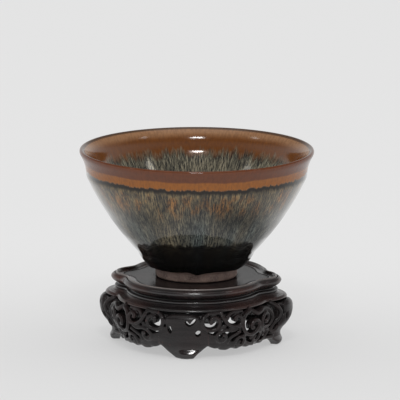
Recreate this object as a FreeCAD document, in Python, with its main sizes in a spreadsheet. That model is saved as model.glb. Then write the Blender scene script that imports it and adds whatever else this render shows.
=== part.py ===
"""Tenmoku tea bowl on its lobed, carved hardwood stand. Lengths are in millimetres.

The origin is on the ground under the middle of the stand, +Z is up and the front foot is
towards -Y. The bowl stands on the tray by its foot ring and lifts straight off.
"""
import FreeCAD, Part
import math
import os
import types

import Sketcher

TURN = 360.0
UP = FreeCAD.Vector(0, 0, 1)

# Driving dimensions, by piece. Each becomes one cell of the sheet.
DIMENSIONS = {
    # bowl, heights from the underside of its foot ring
    "rim_width": 122.0,
    "rim_height": 67.0,
    "lip_thickness": 3.4,
    "lip_roundness": 1.75,
    "lip_flare": 40.0,
    "groove_width": 114.2,
    "groove_height": 56.6,
    "groove_roundness": 4.0,
    "belly_width": 114.6,
    "belly_height": 53.6,
    "side_bow": 260.0,
    "turn_width": 60.4,
    "turn_height": 13.2,
    "turn_roundness": 9.0,
    "heel_width": 52.8,
    "heel_height": 7.8,
    "foot_width": 42.4,
    "foot_height": 5.2,
    "foot_wall": 5.2,
    "foot_hollow": 3.6,
    "throat_wall": 3.7,
    "throat_lift": 2.0,
    "inside_bow": 90.0,
    "inside_lip_bow": 30.0,
    "well_width": 30.0,
    "well_height": 13.5,
    "well_dip": 1.5,
    "glaze_coat": 0.7,
    "glaze_roll": 3.2,
    # plan of the stand, through the tip of the tray's moulding
    "front_reach": 45.4,
    "side_reach": 44.6,
    "front_lobe_radius": 36.9,
    "side_lobe_radius": 15.0,
    "notch_radius": 8.0,
    # heights in the stand, from the ground up
    "shoulder_height": 24.2,
    "shoulder_rise": 3.8,
    "waist_rise": 2.0,
    "tray_rise": 6.3,
    "lip_rise": 1.5,
    # boards of the stand
    "rim_board": 6.5,
    "neck_inset": 3.9,
    "waist_bead": 2.0,
    "shoulder_overhang": 2.9,
    "board_gap": 0.1,
    "tongue_reach": 1.4,
    "tongue_rise": 1.8,
    # legs and aprons
    "apron_top_out": 1.5,
    "apron_belly_out": 4.7,
    "apron_belly_share": 0.765,
    "apron_turn_out": 1.2,
    "apron_turn_share": 0.372,
    "apron_turn_bow": 9.0,
    "apron_edge_out": -0.5,
    "apron_edge_height": 4.0,
    "apron_thickness": 5.0,
    "relief": 0.7,
    "leg_width": 26.0,
    "ankle_height": 6.5,
    "ankle_bow": 14.0,
    "foot_out": -0.2,
    "toe_width": 8.0,
    "toe_depth": 5.4,
    "stub_width": 1.8,
    "stub_rise": 1.5,
    "curl_strand": 2.0,
    "scallop_radius": 4.2,
    "scallop_depth": 1.0,
    # pegs and dowels
    "peg_diameter": 3.0,
    "peg_ring_radius": 27.0,
    "peg_bite": 3.0,
    "peg_gap": 0.05,
    "dowel_diameter": 2.4,
    "dowel_length": 8.0,
    "dowel_bite": 1.9,
    "cut_overrun": 4.0,
}


class Size:
    """A length, or a plain ratio, together with the formula that binds it to the sheet."""

    def __init__(self, value, formula):
        self.value = value
        self.formula = formula

    @staticmethod
    def of(other):
        return other if isinstance(other, Size) else Size(float(other), repr(float(other)))

    def combined(self, other, sign, value):
        return Size(value, f"({self.formula} {sign} {Size.of(other).formula})")

    def __add__(self, other):
        return self.combined(other, "+", self.value + Size.of(other).value)

    def __radd__(self, other):
        return Size.of(other) + self

    def __sub__(self, other):
        return self.combined(other, "-", self.value - Size.of(other).value)

    def __rsub__(self, other):
        return Size.of(other) - self

    def __mul__(self, other):
        return self.combined(other, "*", self.value * Size.of(other).value)

    def __rmul__(self, other):
        return Size.of(other) * self

    def __truediv__(self, other):
        return self.combined(other, "/", self.value / Size.of(other).value)

    def __neg__(self):
        return Size(-self.value, f"(-{self.formula})")


def root(size):
    return Size(math.sqrt(size.value), f"sqrt({size.formula})")


def most(first, second):
    return Size(max(first.value, second.value), f"max({first.formula}; {second.formula})")


def mixed(first, second, share):
    """The size that lies at this share of the way from the first to the second."""
    return first + (second - first) * share


doc = FreeCAD.newDocument("TeaBowl")
sheet = doc.addObject("Spreadsheet::Sheet", "Sizes")
for row, (alias, number) in enumerate(DIMENSIONS.items(), start=1):
    sheet.set(f"A{row}", alias)
    sheet.set(f"B{row}", str(number))
    sheet.setAlias(f"B{row}", alias)
doc.recompute()
S = types.SimpleNamespace(**{
    alias: Size(float(sheet.get(alias)), f"Sizes.{alias}") for alias in DIMENSIONS})

finished = {}


def finish(piece, name):
    """Names a sub-part and puts it on the list of those that are written."""
    piece.Label = name
    finished[name] = piece
    return piece


def origin_plane(body, role):
    return [feature for feature in body.Origin.OriginFeatures if feature.Role == role][0]


def new_sketch(body, role):
    sketch = body.newObject("Sketcher::SketchObject", "Sketch")
    sketch.AttachmentSupport = [(origin_plane(body, role), "")]
    sketch.MapMode = "FlatFace"
    return sketch


def bind(sketch, constraint, size):
    index = sketch.addConstraint(constraint)
    sketch.setExpression(f"Constraints[{index}]", size.formula)


def place_point(sketch, edge, point, across, up):
    """Holds one point of a sketch at its two distances from the sketch's origin."""
    for kind, size in (("DistanceX", across), ("DistanceY", up)):
        if size.value < 0:
            bind(sketch, Sketcher.Constraint(kind, edge, point, -1, 1, -size.value), -size)
        else:
            bind(sketch, Sketcher.Constraint(kind, -1, 1, edge, point, size.value), size)


def arc_between(start, end, radius, side):
    """The minor arc from start to end whose centre is to the left (side 1) or right (-1)."""
    chord = end - start
    middle = (start + end) / 2
    height = math.sqrt(max(radius ** 2 - (chord.Length / 2) ** 2, 0))
    left = FreeCAD.Vector(-chord.y, chord.x, 0).normalize()
    centre = middle + left * height * side
    first, last = (start, end) if side > 0 else (end, start)
    angles = [math.atan2((point - centre).y, (point - centre).x) for point in (first, last)]
    if angles[1] < angles[0]:
        angles[1] += 2 * math.pi
    return Part.ArcOfCircle(Part.Circle(centre, UP, radius), *angles)


def draw_outline(sketch, corners):
    """Draws a closed outline. A corner is (across, up) or (across, up, radius, side).

    A radius bends the edge that leaves the corner; side 1 has the arc's centre on its left.
    """
    count = len(corners)
    ends = []
    for index, corner in enumerate(corners):
        following = corners[(index + 1) % count]
        start = FreeCAD.Vector(corner[0].value, corner[1].value, 0)
        end = FreeCAD.Vector(following[0].value, following[1].value, 0)
        if len(corner) > 2:
            sketch.addGeometry(arc_between(start, end, corner[2].value, corner[3]), False)
            ends.append((1, 2) if corner[3] > 0 else (2, 1))
        else:
            sketch.addGeometry(Part.LineSegment(start, end), False)
            ends.append((1, 2))
    for index in range(count):
        after = (index + 1) % count
        sketch.addConstraint(
            Sketcher.Constraint("Coincident", index, ends[index][1], after, ends[after][0]))
    for index, corner in enumerate(corners):
        place_point(sketch, index, ends[index][0], corner[0], corner[1])
        if len(corner) > 2:
            bind(sketch, Sketcher.Constraint("Radius", index, corner[2].value), corner[2])


FRONT_LOBE_OFFSET = S.front_reach - S.front_lobe_radius
SIDE_LOBE_OFFSET = S.side_reach - S.side_lobe_radius


def notch_centre():
    """Centre of the notch circle between the front and the right lobe, which it touches."""
    front_offset, side_offset = FRONT_LOBE_OFFSET, SIDE_LOBE_OFFSET
    to_front = S.front_lobe_radius + S.notch_radius
    to_side = S.side_lobe_radius + S.notch_radius
    span_square = front_offset * front_offset + side_offset * side_offset
    span = root(span_square)
    along = (to_front * to_front - to_side * to_side + span_square) / (span * 2)
    off = root(to_front * to_front - along * along)
    return ((side_offset * along + front_offset * off) / span,
            (front_offset * along - side_offset * off) / span - front_offset)


def draw_lobes(sketch, grow):
    """Draws the stand's plan, grown by a length: four lobes joined by concave notches."""
    front_lobe = (S.front_lobe_radius + grow).value
    side_lobe = (S.side_lobe_radius + grow).value
    notch = (S.notch_radius - grow).value
    front_offset, side_offset = FRONT_LOBE_OFFSET.value, SIDE_LOBE_OFFSET.value
    notch_x, notch_y = [size.value for size in notch_centre()]
    front_angle = math.atan2(notch_y + front_offset, notch_x)
    side_angle = math.atan2(notch_y, notch_x - side_offset)
    half = math.pi

    def arc(x, y, radius, first, last):
        centre = FreeCAD.Vector(x, y, 0)
        sketch.addGeometry(Part.ArcOfCircle(Part.Circle(centre, UP, radius), first, last), False)

    arc(0, -front_offset, front_lobe, -half / 2, front_angle)
    arc(notch_x, notch_y, notch, half + side_angle, half + front_angle)
    arc(side_offset, 0, side_lobe, side_angle, -side_angle)
    arc(notch_x, -notch_y, notch, half - front_angle, half - side_angle)
    arc(0, front_offset, front_lobe, -front_angle, half + front_angle)
    arc(-notch_x, -notch_y, notch, side_angle, front_angle)
    arc(-side_offset, 0, side_lobe, half + side_angle, half - side_angle)
    arc(-notch_x, notch_y, notch, -front_angle, -side_angle)
    arc(0, -front_offset, front_lobe, half - front_angle, half * 3 / 2)

    joints = ((0, 2, 1, 2), (1, 1, 2, 1), (2, 2, 3, 2), (3, 1, 4, 1), (4, 2, 5, 2), (5, 1, 6, 1),
              (6, 2, 7, 2), (7, 1, 8, 1))
    for first, first_end, second, second_end in joints:
        sketch.addConstraint(
            Sketcher.Constraint("Tangent", first, first_end, second, second_end))
    sketch.addConstraint(Sketcher.Constraint("Coincident", 8, 2, 0, 1))
    sketch.addConstraint(Sketcher.Constraint("PointOnObject", 0, 1, -2))
    zero = Size.of(0)
    centres = ((0, zero, -FRONT_LOBE_OFFSET), (8, zero, -FRONT_LOBE_OFFSET),
               (2, SIDE_LOBE_OFFSET, zero), (4, zero, FRONT_LOBE_OFFSET),
               (6, -SIDE_LOBE_OFFSET, zero))
    for edge, across, up in centres:
        place_point(sketch, edge, 3, across, up)
    for edge in (0, 4):
        bind(sketch, Sketcher.Constraint("Radius", edge, front_lobe), S.front_lobe_radius + grow)
    for edge in (2, 6):
        bind(sketch, Sketcher.Constraint("Radius", edge, side_lobe), S.side_lobe_radius + grow)
    for edge in (1, 3, 5, 7):
        bind(sketch, Sketcher.Constraint("Radius", edge, notch), S.notch_radius - grow)


def pad(body, sketch, length):
    feature = body.newObject("PartDesign::Pad", "Pad")
    feature.Profile = sketch
    feature.setExpression("Length", length.formula)
    sketch.Visibility = False
    return feature


def lobed_board(body, height, thickness, grow):
    """A flat board with the stand's plan, grown by a length, standing on a height."""
    sketch = new_sketch(body, "XY_Plane")
    sketch.setExpression(".AttachmentOffset.Base.z", height.formula)
    draw_lobes(sketch, grow)
    return pad(body, sketch, thickness)


def moulding(body, corners, kind="PartDesign::AdditivePipe"):
    """Runs a section round the stand's plan. Its corners are (out, height, ...).

    The section is drawn at the front, where outwards is backwards, so its bends turn over.
    """
    path = new_sketch(body, "XY_Plane")
    draw_lobes(path, Size.of(0))
    section = new_sketch(body, "YZ_Plane")
    turned_over = []
    for out, height, *bend in corners:
        corner = (-(S.front_reach + out), height)
        turned_over.append(corner + ((bend[0], -bend[1]) if bend else ()))
    draw_outline(section, turned_over)
    pipe = body.newObject(kind, "Moulding")
    pipe.Profile = section
    pipe.Spine = path
    path.Visibility = section.Visibility = False
    return pipe


def new_body(name):
    return doc.addObject("PartDesign::Body", name)


def drill(body, places, diameter, start, depth):
    """Drills round holes from a height upwards, at the places given as (x, y)."""
    sketch = new_sketch(body, "XY_Plane")
    sketch.setExpression(".AttachmentOffset.Base.z", start.formula)
    for index, (across, up) in enumerate(places):
        centre = FreeCAD.Vector(across.value, up.value, 0)
        sketch.addGeometry(Part.Circle(centre, UP, diameter.value / 2), False)
        place_point(sketch, index, 3, across, up)
        bind(sketch, Sketcher.Constraint("Diameter", index, diameter.value), diameter)
    pocket = body.newObject("PartDesign::Pocket", "Holes")
    pocket.Profile = sketch
    pocket.Reversed = True
    pocket.setExpression("Length", depth.formula)
    sketch.Visibility = False
    return pocket


def combined(kind, pieces, name):
    """A boolean of two or more objects: Part::Cut takes the later ones from the first."""
    if kind == "Part::Cut" or len(pieces) == 2 and kind == "Part::Common":
        base, tool = pieces[0], pieces[1]
        if len(pieces) > 2:
            tool = combined("Part::MultiFuse", pieces[1:], f"{name}_tools")
        result = doc.addObject(kind, name)
        result.Base, result.Tool = base, tool
    else:
        result = doc.addObject(kind, name)
        result.Shapes = pieces
    return result


def set_place(piece, x, y, z, rotation):
    piece.Placement = FreeCAD.Placement(FreeCAD.Vector(x.value, y.value, z.value), rotation)
    for axis, size in (("x", x), ("y", y), ("z", z)):
        piece.setExpression(f".Placement.Base.{axis}", size.formula)


# Heights of the stand's boards and of its belly, from the ground up.
belly_height = S.shoulder_height * S.apron_belly_share
turn_height = S.shoulder_height * S.apron_turn_share
waist_height = S.shoulder_height + S.shoulder_rise
tray_height = waist_height + S.waist_rise
floor_height = tray_height + S.tray_rise - S.lip_rise
none = Size.of(0)

# Bowl. Corners of the fired body, and of the glaze that covers it.
slope_coat_share, lip_turn_share, glaze_edge_share = 1.1, 0.9, 0.3
foot_radius = S.foot_width / 2
coat_on_slope = S.glaze_coat * slope_coat_share
heel = (S.heel_width / 2 - S.glaze_coat, S.heel_height)
turn = (S.turn_width / 2 - S.glaze_coat, S.turn_height)
belly = (S.belly_width / 2 - S.glaze_coat, S.belly_height)
groove = (S.groove_width / 2 - S.glaze_coat, S.groove_height)
lip_out = (S.rim_width / 2 - S.glaze_coat, S.rim_height - S.lip_roundness * lip_turn_share)
lip_in = (lip_out[0] - S.lip_thickness + S.glaze_coat * 2, lip_out[1])
throat = (S.groove_width / 2 - S.throat_wall + S.glaze_coat, S.groove_height + S.throat_lift)
well = (S.well_width / 2, S.well_height)
bottom = (none, S.well_height - S.well_dip)
glaze_edge = (mixed(foot_radius, heel[0], glaze_edge_share),
              mixed(S.foot_height, heel[1], glaze_edge_share))
lip_arc = S.lip_roundness - S.glaze_coat


def raised(point):
    """A height in the bowl, carried up to where the bowl stands on the tray."""
    return (point[0], point[1] + floor_height) + tuple(point[2:])


def revolved(name, corners):
    body = new_body(name)
    sketch = new_sketch(body, "XZ_Plane")
    draw_outline(sketch, [raised(corner) for corner in corners])
    turned = body.newObject("PartDesign::Revolution", "Turned")
    turned.Profile = sketch
    turned.ReferenceAxis = (sketch, ["V_Axis"])
    turned.Angle = TURN
    sketch.Visibility = False
    return finish(body, name)


revolved("bowl_body", [
    (none, S.foot_hollow),
    (foot_radius - S.foot_wall, S.foot_hollow),
    (foot_radius - S.foot_wall, none),
    (foot_radius, none),
    (foot_radius, S.foot_height),
    glaze_edge,
    heel + (S.turn_roundness, 1),
    turn + (S.side_bow, 1),
    belly + (S.groove_roundness, 1),
    groove + (S.lip_flare, -1),
    lip_out + (lip_arc, 1),
    lip_in + (S.inside_lip_bow, 1),
    throat + (S.inside_bow, -1),
    well + (S.inside_bow, -1),
    bottom,
])

revolved("bowl_glaze", [
    glaze_edge + (S.glaze_roll, 1),
    (S.heel_width / 2, S.heel_height, S.turn_roundness, 1),
    (S.turn_width / 2, S.turn_height, S.side_bow, 1),
    (S.belly_width / 2, S.belly_height, S.groove_roundness, 1),
    (S.groove_width / 2, S.groove_height, S.lip_flare, -1),
    (S.rim_width / 2, lip_out[1], S.lip_roundness, 1),
    (lip_in[0] - S.glaze_coat, lip_in[1], S.inside_lip_bow, 1),
    (throat[0] - S.glaze_coat, throat[1], S.inside_bow, -1),
    (well[0], well[1] + coat_on_slope, S.inside_bow, -1),
    (none, bottom[1] + coat_on_slope),
    bottom + (S.inside_bow, 1),
    well + (S.inside_bow, 1),
    throat + (S.inside_lip_bow, -1),
    lip_in + (lip_arc, -1),
    lip_out + (S.lip_flare, 1),
    groove + (S.groove_roundness, -1),
    belly + (S.side_bow, -1),
    turn + (S.turn_roundness, -1),
    heel,
])

# Tray: a moulded frame with the floor board's tongue in its groove.
inner_face = -S.rim_board
groove_face = inner_face + S.tongue_reach + S.board_gap
tongue_low = tray_height + (floor_height - tray_height) / 2 - S.tongue_rise / 2
tongue_high = tongue_low + S.tongue_rise
# Outside of the frame from the neck up: shares of the neck's inset and of the frame's rise.
rim_shares = [(-1.0, 0.0, 0.5, -1), (-0.36, 0.26, 0.52, 1), (0.0, 0.6, 0.4, 1),
              (-0.3, 0.87, 0.0, 0), (-0.34, 0.9, 0.18, 1), (-0.6, 1.0, 0.2, 1),
              (-0.86, 0.9, 0.0, 0)]
rim_outside = []
for out_share, up_share, bend_share, side in rim_shares:
    corner = (S.neck_inset * out_share, tray_height + S.tray_rise * up_share)
    rim_outside.append(corner + ((S.tray_rise * bend_share, side) if side else ()))

tray_rim = new_body("tray_rim")
moulding(tray_rim, [
    *rim_outside,
    (-S.neck_inset, floor_height),
    (inner_face, floor_height),
    (inner_face, tongue_high + S.board_gap),
    (groove_face, tongue_high + S.board_gap),
    (groove_face, tongue_low - S.board_gap),
    (inner_face, tongue_low - S.board_gap),
    (inner_face, tray_height),
])
finish(tray_rim, "tray_rim")

peg_places = []
for quarter in range(4):
    angle = math.radians(TURN / 8 + TURN / 4 * quarter)
    peg_places.append((S.peg_ring_radius * math.cos(angle), S.peg_ring_radius * math.sin(angle)))
peg_hole = S.peg_diameter + S.peg_gap * 2

tray_panel = new_body("tray_panel")
lobed_board(tray_panel, tray_height, floor_height - tray_height, inner_face - S.board_gap)
doc.recompute()
lobed_board(tray_panel, tongue_low, S.tongue_rise, inner_face + S.tongue_reach)
doc.recompute()
drill(tray_panel, peg_places, peg_hole, tray_height, S.peg_bite + S.board_gap)
finish(tray_panel, "tray_panel")

# Waist: a plain neck with a bead round its foot.
waist = new_body("waist")
neck_out = -S.neck_inset
bead_rise_share, bead_inset_share, bead_bend_share = 0.75, 0.33, 0.55
bead_rise = S.waist_rise * bead_rise_share
bead_out = neck_out + S.waist_bead - bead_rise * bead_inset_share
lobed_board(waist, waist_height, S.waist_rise, neck_out)
doc.recompute()
moulding(waist, [
    (neck_out - S.waist_bead, waist_height),
    (bead_out, waist_height, bead_rise * bead_bend_share, 1),
    (bead_out, waist_height + bead_rise),
    (neck_out - S.waist_bead, waist_height + bead_rise),
])
doc.recompute()
drill(waist, peg_places, peg_hole, waist_height, S.waist_rise)
finish(waist, "waist")

# Shoulder: an ogee board, grooved underneath for the stubs of legs and aprons.
shoulder = new_body("shoulder")
shoulder_core = neck_out - S.waist_bead
# Outside of the board from its underside up: shares of the overhang and of the rise.
shoulder_shares = [(0.8, 0.0, 0.0, 0), (1.0, 0.12, 0.0, 0), (1.0, 0.24, 0.5, 1),
                   (0.22, 0.6, 0.0, 0), (0.1, 0.66, 0.8, -1), (-0.82, 1.0, 0.0, 0)]
shoulder_outside = []
for out_share, up_share, bend_share, side in shoulder_shares:
    corner = (S.shoulder_overhang * out_share, S.shoulder_height + S.shoulder_rise * up_share)
    shoulder_outside.append(corner + ((S.shoulder_rise * bend_share, side) if side else ()))
lobed_board(shoulder, S.shoulder_height, S.shoulder_rise, shoulder_core)
doc.recompute()
moulding(shoulder, [
    (shoulder_core - S.waist_bead, S.shoulder_height),
    *shoulder_outside,
    (shoulder_core - S.waist_bead, waist_height),
])
doc.recompute()

# Legs and aprons hang from a stub that runs in the shoulder's groove.
stub_out = S.apron_top_out - S.apron_thickness / 2
groove_half = S.stub_width / 2 + S.board_gap
moulding(shoulder, [
    (stub_out - groove_half, S.shoulder_height - S.board_gap),
    (stub_out + groove_half, S.shoulder_height - S.board_gap),
    (stub_out + groove_half, S.shoulder_height + S.stub_rise + S.board_gap),
    (stub_out - groove_half, S.shoulder_height + S.stub_rise + S.board_gap),
], "PartDesign::SubtractivePipe")
doc.recompute()
drill(shoulder, peg_places, peg_hole, S.shoulder_height, S.shoulder_rise)
doc.recompute()

dowel_out = stub_out
dowel_places = [
    (none, -(S.front_reach + dowel_out)), (S.side_reach + dowel_out, none),
    (none, S.front_reach + dowel_out), (-(S.side_reach + dowel_out), none)]
drill(shoulder, dowel_places, S.dowel_diameter + S.peg_gap * 2, S.shoulder_height,
      S.dowel_bite + S.peg_gap)
finish(shoulder, "shoulder")


def bow(first, last, touch):
    """Radius of the arc that runs between two heights and stands upright at the first."""
    run = first - last
    return (run * run + touch * touch) / (touch * 2)


inner_edge_share = 0.8


def band_section(proud, foot):
    """Section of the bellied band, from its inside edge round to its lower inside."""
    top_out = S.apron_top_out + proud
    belly_out = S.apron_belly_out + proud
    turn_out = S.apron_turn_out + proud
    edge_out = S.apron_edge_out + proud
    top_in = S.apron_top_out - S.apron_thickness
    belly_in = S.apron_belly_out - S.apron_thickness
    turn_in = S.apron_turn_out - S.apron_thickness
    edge_in = S.apron_edge_out - S.apron_thickness * inner_edge_share
    low, turn_up, middle, high = S.apron_edge_height, turn_height, belly_height, S.shoulder_height
    corners = [(edge_in, low)]
    if foot:
        corners += [(S.foot_out - S.toe_depth, none), (S.foot_out, none)]
    corners += [
        (edge_out, low, S.apron_turn_bow, -1),
        (turn_out, turn_up, bow(middle, turn_up, belly_out - turn_out), 1),
        (belly_out, middle, bow(middle, high, belly_out - top_out), 1),
        (top_out, high),
        (stub_out + S.stub_width / 2, high),
        (stub_out + S.stub_width / 2, high + S.stub_rise),
        (stub_out - S.stub_width / 2, high + S.stub_rise),
        (stub_out - S.stub_width / 2, high),
        (top_in, high, bow(middle, high, belly_in - top_in), -1),
        (belly_in, middle, bow(middle, turn_up, belly_in - turn_in), -1),
        (turn_in, turn_up),
    ]
    return corners


def band(name, proud, foot):
    body = new_body(name)
    moulding(body, band_section(proud, foot))
    return body


# Seen from the front, a leg is a broad lappet that draws in to its toe.
lappet_half = S.leg_width / 2
toe_half = S.toe_width / 2
lappet_top = S.shoulder_height + S.stub_rise + S.cut_overrun


def lappet(name, grow, quarter):
    """The leg's front outline as a bar that runs outwards from the middle of the stand."""
    body = new_body(name)
    sketch = new_sketch(body, "XZ_Plane")
    draw_outline(sketch, [
        (-toe_half - grow, -grow),
        (toe_half + grow, -grow, S.ankle_bow, -1),
        (lappet_half + grow, S.ankle_height),
        (lappet_half + grow, lappet_top),
        (-lappet_half - grow, lappet_top),
        (-lappet_half - grow, S.ankle_height, S.ankle_bow, -1),
    ])
    pad(body, sketch, S.front_reach + S.apron_belly_out + S.cut_overrun)
    body.Placement = FreeCAD.Placement(FreeCAD.Vector(), FreeCAD.Rotation(UP, TURN / 4 * quarter))
    return body


def plan_reach(angle):
    """Distance from the axis to the stand's plan, at an angle from the front leg."""
    sine, cosine = abs(math.sin(angle)), abs(math.cos(angle))

    def to_arc(along, off, radius, side):
        return along + root(most(radius * radius - off * off, none)) * side

    notch_x, notch_y = notch_centre()
    along, off = notch_x * sine - notch_y * cosine, notch_x * cosine + notch_y * sine
    from_front = math.atan2(notch_x.value, -(notch_y + FRONT_LOBE_OFFSET).value)
    from_side = math.atan2((notch_x - SIDE_LOBE_OFFSET).value, -notch_y.value)
    touch_front = (math.sin(from_front) * S.front_lobe_radius.value,
                   math.cos(from_front) * S.front_lobe_radius.value + FRONT_LOBE_OFFSET.value)
    touch_side = (math.sin(from_side) * S.side_lobe_radius.value + SIDE_LOBE_OFFSET.value,
                  math.cos(from_side) * S.side_lobe_radius.value)
    if math.atan2(*touch_front) < math.atan2(sine, cosine) < math.atan2(*touch_side):
        return to_arc(along, off, S.notch_radius, -1)
    return most(
        to_arc(FRONT_LOBE_OFFSET * cosine, FRONT_LOBE_OFFSET * sine, S.front_lobe_radius, 1),
        to_arc(SIDE_LOBE_OFFSET * sine, SIDE_LOBE_OFFSET * cosine, S.side_lobe_radius, 1))


def band_out(height_share):
    """How far the apron's face stands out of the plan, at a share of the apron's height."""
    height = mixed(S.apron_edge_height, S.shoulder_height, height_share)
    far_out, far = S.apron_turn_out, turn_height
    if height.value < far.value:
        share = (height - S.apron_edge_height) / (far - S.apron_edge_height)
        return height, S.apron_edge_out + (far_out - S.apron_edge_out) * share
    above = height - belly_height
    if above.value > 0:
        far_out, far = S.apron_top_out, S.shoulder_height
    radius = bow(belly_height, far, S.apron_belly_out - far_out)
    return height, S.apron_belly_out - radius + root(radius * radius - above * above)


def outward(piece, angle, height_share, sink):
    """Points a piece's own axis out of the apron's face, its middle sunk below the face."""
    height, out = band_out(height_share)
    reach = plan_reach(angle) + out - sink
    across, up = math.sin(angle), -math.cos(angle)
    rotation = FreeCAD.Rotation(UP, FreeCAD.Vector(across, up, 0))
    set_place(piece, reach * across, reach * up, height, rotation)


def bore(name, angle, height_share, radius):
    """A round piercing through the band, along the outward direction at an angle."""
    hole = doc.addObject("Part::Cylinder", name)
    hole.setExpression("Radius", radius.formula)
    hole.setExpression("Height", (S.apron_thickness * 4).formula)
    outward(hole, angle, height_share, S.apron_thickness * 2)
    return hole


# Section of a strand, as shares of its width, and how deep it is rooted.
strand_shares = [(-0.5, -1.0), (0.5, -1.0), (0.5, 0.1), (0.25, 0.5), (-0.25, 0.5), (-0.5, 0.1)]
root_share = 0.3


def curl(name, angle, height_share, radius, start, sweep):
    """The raised, bevelled strand of a scroll, rooted in the apron's face.

    Seen from outside it runs anticlockwise from its start, in degrees from the right.
    """
    body = new_body(name)
    sketch = new_sketch(body, "XZ_Plane")
    draw_outline(sketch, [(radius + S.curl_strand * across, S.curl_strand * up)
                          for across, up in strand_shares])
    turned = body.newObject("PartDesign::Revolution", "Turned")
    turned.Profile = sketch
    turned.ReferenceAxis = (sketch, ["V_Axis"])
    turned.Angle = sweep
    sketch.Visibility = False
    outward(body, angle, height_share, S.curl_strand * root_share)
    body.Placement = body.Placement.multiply(
        FreeCAD.Placement(FreeCAD.Vector(), FreeCAD.Rotation(UP, TURN / 4 + start)))
    return body


# Scrolls of one apron as (turn, height, ring, start, sweep): shares of half the apron's turn
# and of its height, a ring in strands' widths, and the degrees it runs through.
scroll_shares = [
    (-0.8, 0.79, 1.45, 40, TURN), (-0.38, 0.78, 1.2, 40, TURN), (0.02, 0.6, 2.2, 40, TURN),
    (0.5, 0.66, 1.7, 40, TURN), (0.34, 0.25, 1.3, 40, TURN), (-0.22, 0.24, 1.25, 40, TURN),
    (-0.7, 0.42, 1.3, 40, TURN), (0.72, 0.3, 1.1, 40, TURN), (0.86, 0.8, 1.0, 40, TURN),
    (0.5, 0.62, 3.0, 20, 130), (-0.4, 0.86, 2.6, 185, 95), (-0.44, 0.44, 2.2, 60, 110),
]
# Piercings of one apron as (turn, height, radius), in the same shares and strands' widths.
piercing_shares = [
    (-0.8, 0.79, 0.85), (-0.38, 0.78, 0.62), (-0.07, 0.66, 0.75), (0.13, 0.5, 0.75),
    (0.5, 0.66, 1.05), (0.34, 0.25, 0.75), (-0.22, 0.24, 0.7), (-0.7, 0.42, 0.75),
    (0.72, 0.3, 0.55), (0.86, 0.8, 0.45), (-0.57, 0.6, 0.55), (-0.43, 0.3, 0.5),
    (-0.17, 0.92, 0.4), (0.24, 0.87, 0.5), (0.7, 0.55, 0.5), (0.06, 0.24, 0.45),
]
scallop_shares = [-0.72, -0.36, 0.02, 0.38, 0.72]
# Piercings of one leg as (turn, height, radius), likewise.
leg_hole_shares = [(-0.2, 0.56, 0.5), (0.06, 0.77, 0.45), (0.2, 0.78, 0.45), (0.32, 0.46, 0.62)]

half_turn = math.radians(TURN / 8)
apron_span_share = 0.66
apron_half_turn = half_turn * apron_span_share
side_names = ["front", "right", "back", "left"]
leg_band = band("leg_band", S.relief, True)
apron_band = band("apron_band", none, False)
leg_bars = [lappet(f"lappet_{side}", none, quarter) for quarter, side in enumerate(side_names)]
leg_rooms = [lappet(f"room_{side}", S.board_gap, quarter)
             for quarter, side in enumerate(side_names)]
doc.recompute()

for quarter, side in enumerate(side_names):
    facing = half_turn * 2 * quarter
    holes = []
    for index, (turn_share, height_share, radius_share) in enumerate(leg_hole_shares):
        angle = facing + turn_share * apron_half_turn
        holes.append(bore(f"leg_bore_{side}_{index}", angle, height_share,
                          S.curl_strand * radius_share))
    socket = doc.addObject("Part::Cylinder", f"dowel_socket_{side}")
    socket.setExpression("Radius", (S.dowel_diameter / 2 + S.peg_gap).formula)
    depth = S.dowel_length - S.dowel_bite + S.peg_gap
    socket.setExpression("Height", (depth + S.cut_overrun).formula)
    set_place(socket, *dowel_places[quarter], S.shoulder_height - depth, FreeCAD.Rotation())
    blank = combined("Part::Common", [leg_band, leg_bars[quarter]], f"leg_blank_{side}")
    leg = combined("Part::Cut", [blank, socket] + holes, f"leg_shape_{side}")
    finish(leg, f"leg_{side}")

    dowel = doc.addObject("Part::Cylinder", f"dowel_{side}")
    dowel.setExpression("Radius", (S.dowel_diameter / 2).formula)
    dowel.setExpression("Height", S.dowel_length.formula)
    set_place(dowel, *dowel_places[quarter],
              S.shoulder_height + S.dowel_bite - S.dowel_length, FreeCAD.Rotation())
    finish(dowel, f"leg_dowel_{side}")

# One apron is carved, and the others are its mirror images.
middle = half_turn
strands, cuts = [], [leg_rooms[0], leg_rooms[1]]
for index, (turn_share, height_share, ring_share, start, sweep) in enumerate(scroll_shares):
    strands.append(curl(f"curl_{index}", middle + turn_share * apron_half_turn, height_share,
                        S.curl_strand * ring_share, start, sweep))
for index, (turn_share, height_share, radius_share) in enumerate(piercing_shares):
    cuts.append(bore(f"bore_{index}", middle + turn_share * apron_half_turn, height_share,
                     S.curl_strand * radius_share))
for index, turn_share in enumerate(scallop_shares):
    arch = bore(f"scallop_{index}", middle + turn_share * apron_half_turn, 0.0, S.scallop_radius)
    drop = S.apron_edge_height + S.scallop_depth - S.scallop_radius
    arch.setExpression(".Placement.Base.z", drop.formula)
    cuts.append(arch)
quadrant = doc.addObject("Part::Box", "quadrant")
reach = S.front_reach + S.apron_belly_out + S.cut_overrun
for side_length in ("Length", "Width"):
    quadrant.setExpression(side_length, reach.formula)
quadrant.setExpression("Height", lappet_top.formula)
quadrant.Placement = FreeCAD.Placement(FreeCAD.Vector(), FreeCAD.Rotation(UP, -TURN / 4))
panel = combined("Part::Common", [apron_band, quadrant], "panel")
carved = combined("Part::MultiFuse", [panel] + strands, "carved")
front_right = combined("Part::Cut", [carved] + cuts, "apron_shape")


def mirrored(piece, name, normal):
    image = doc.addObject("Part::Mirroring", name)
    image.Source = piece
    image.Normal = normal
    return image


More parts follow.
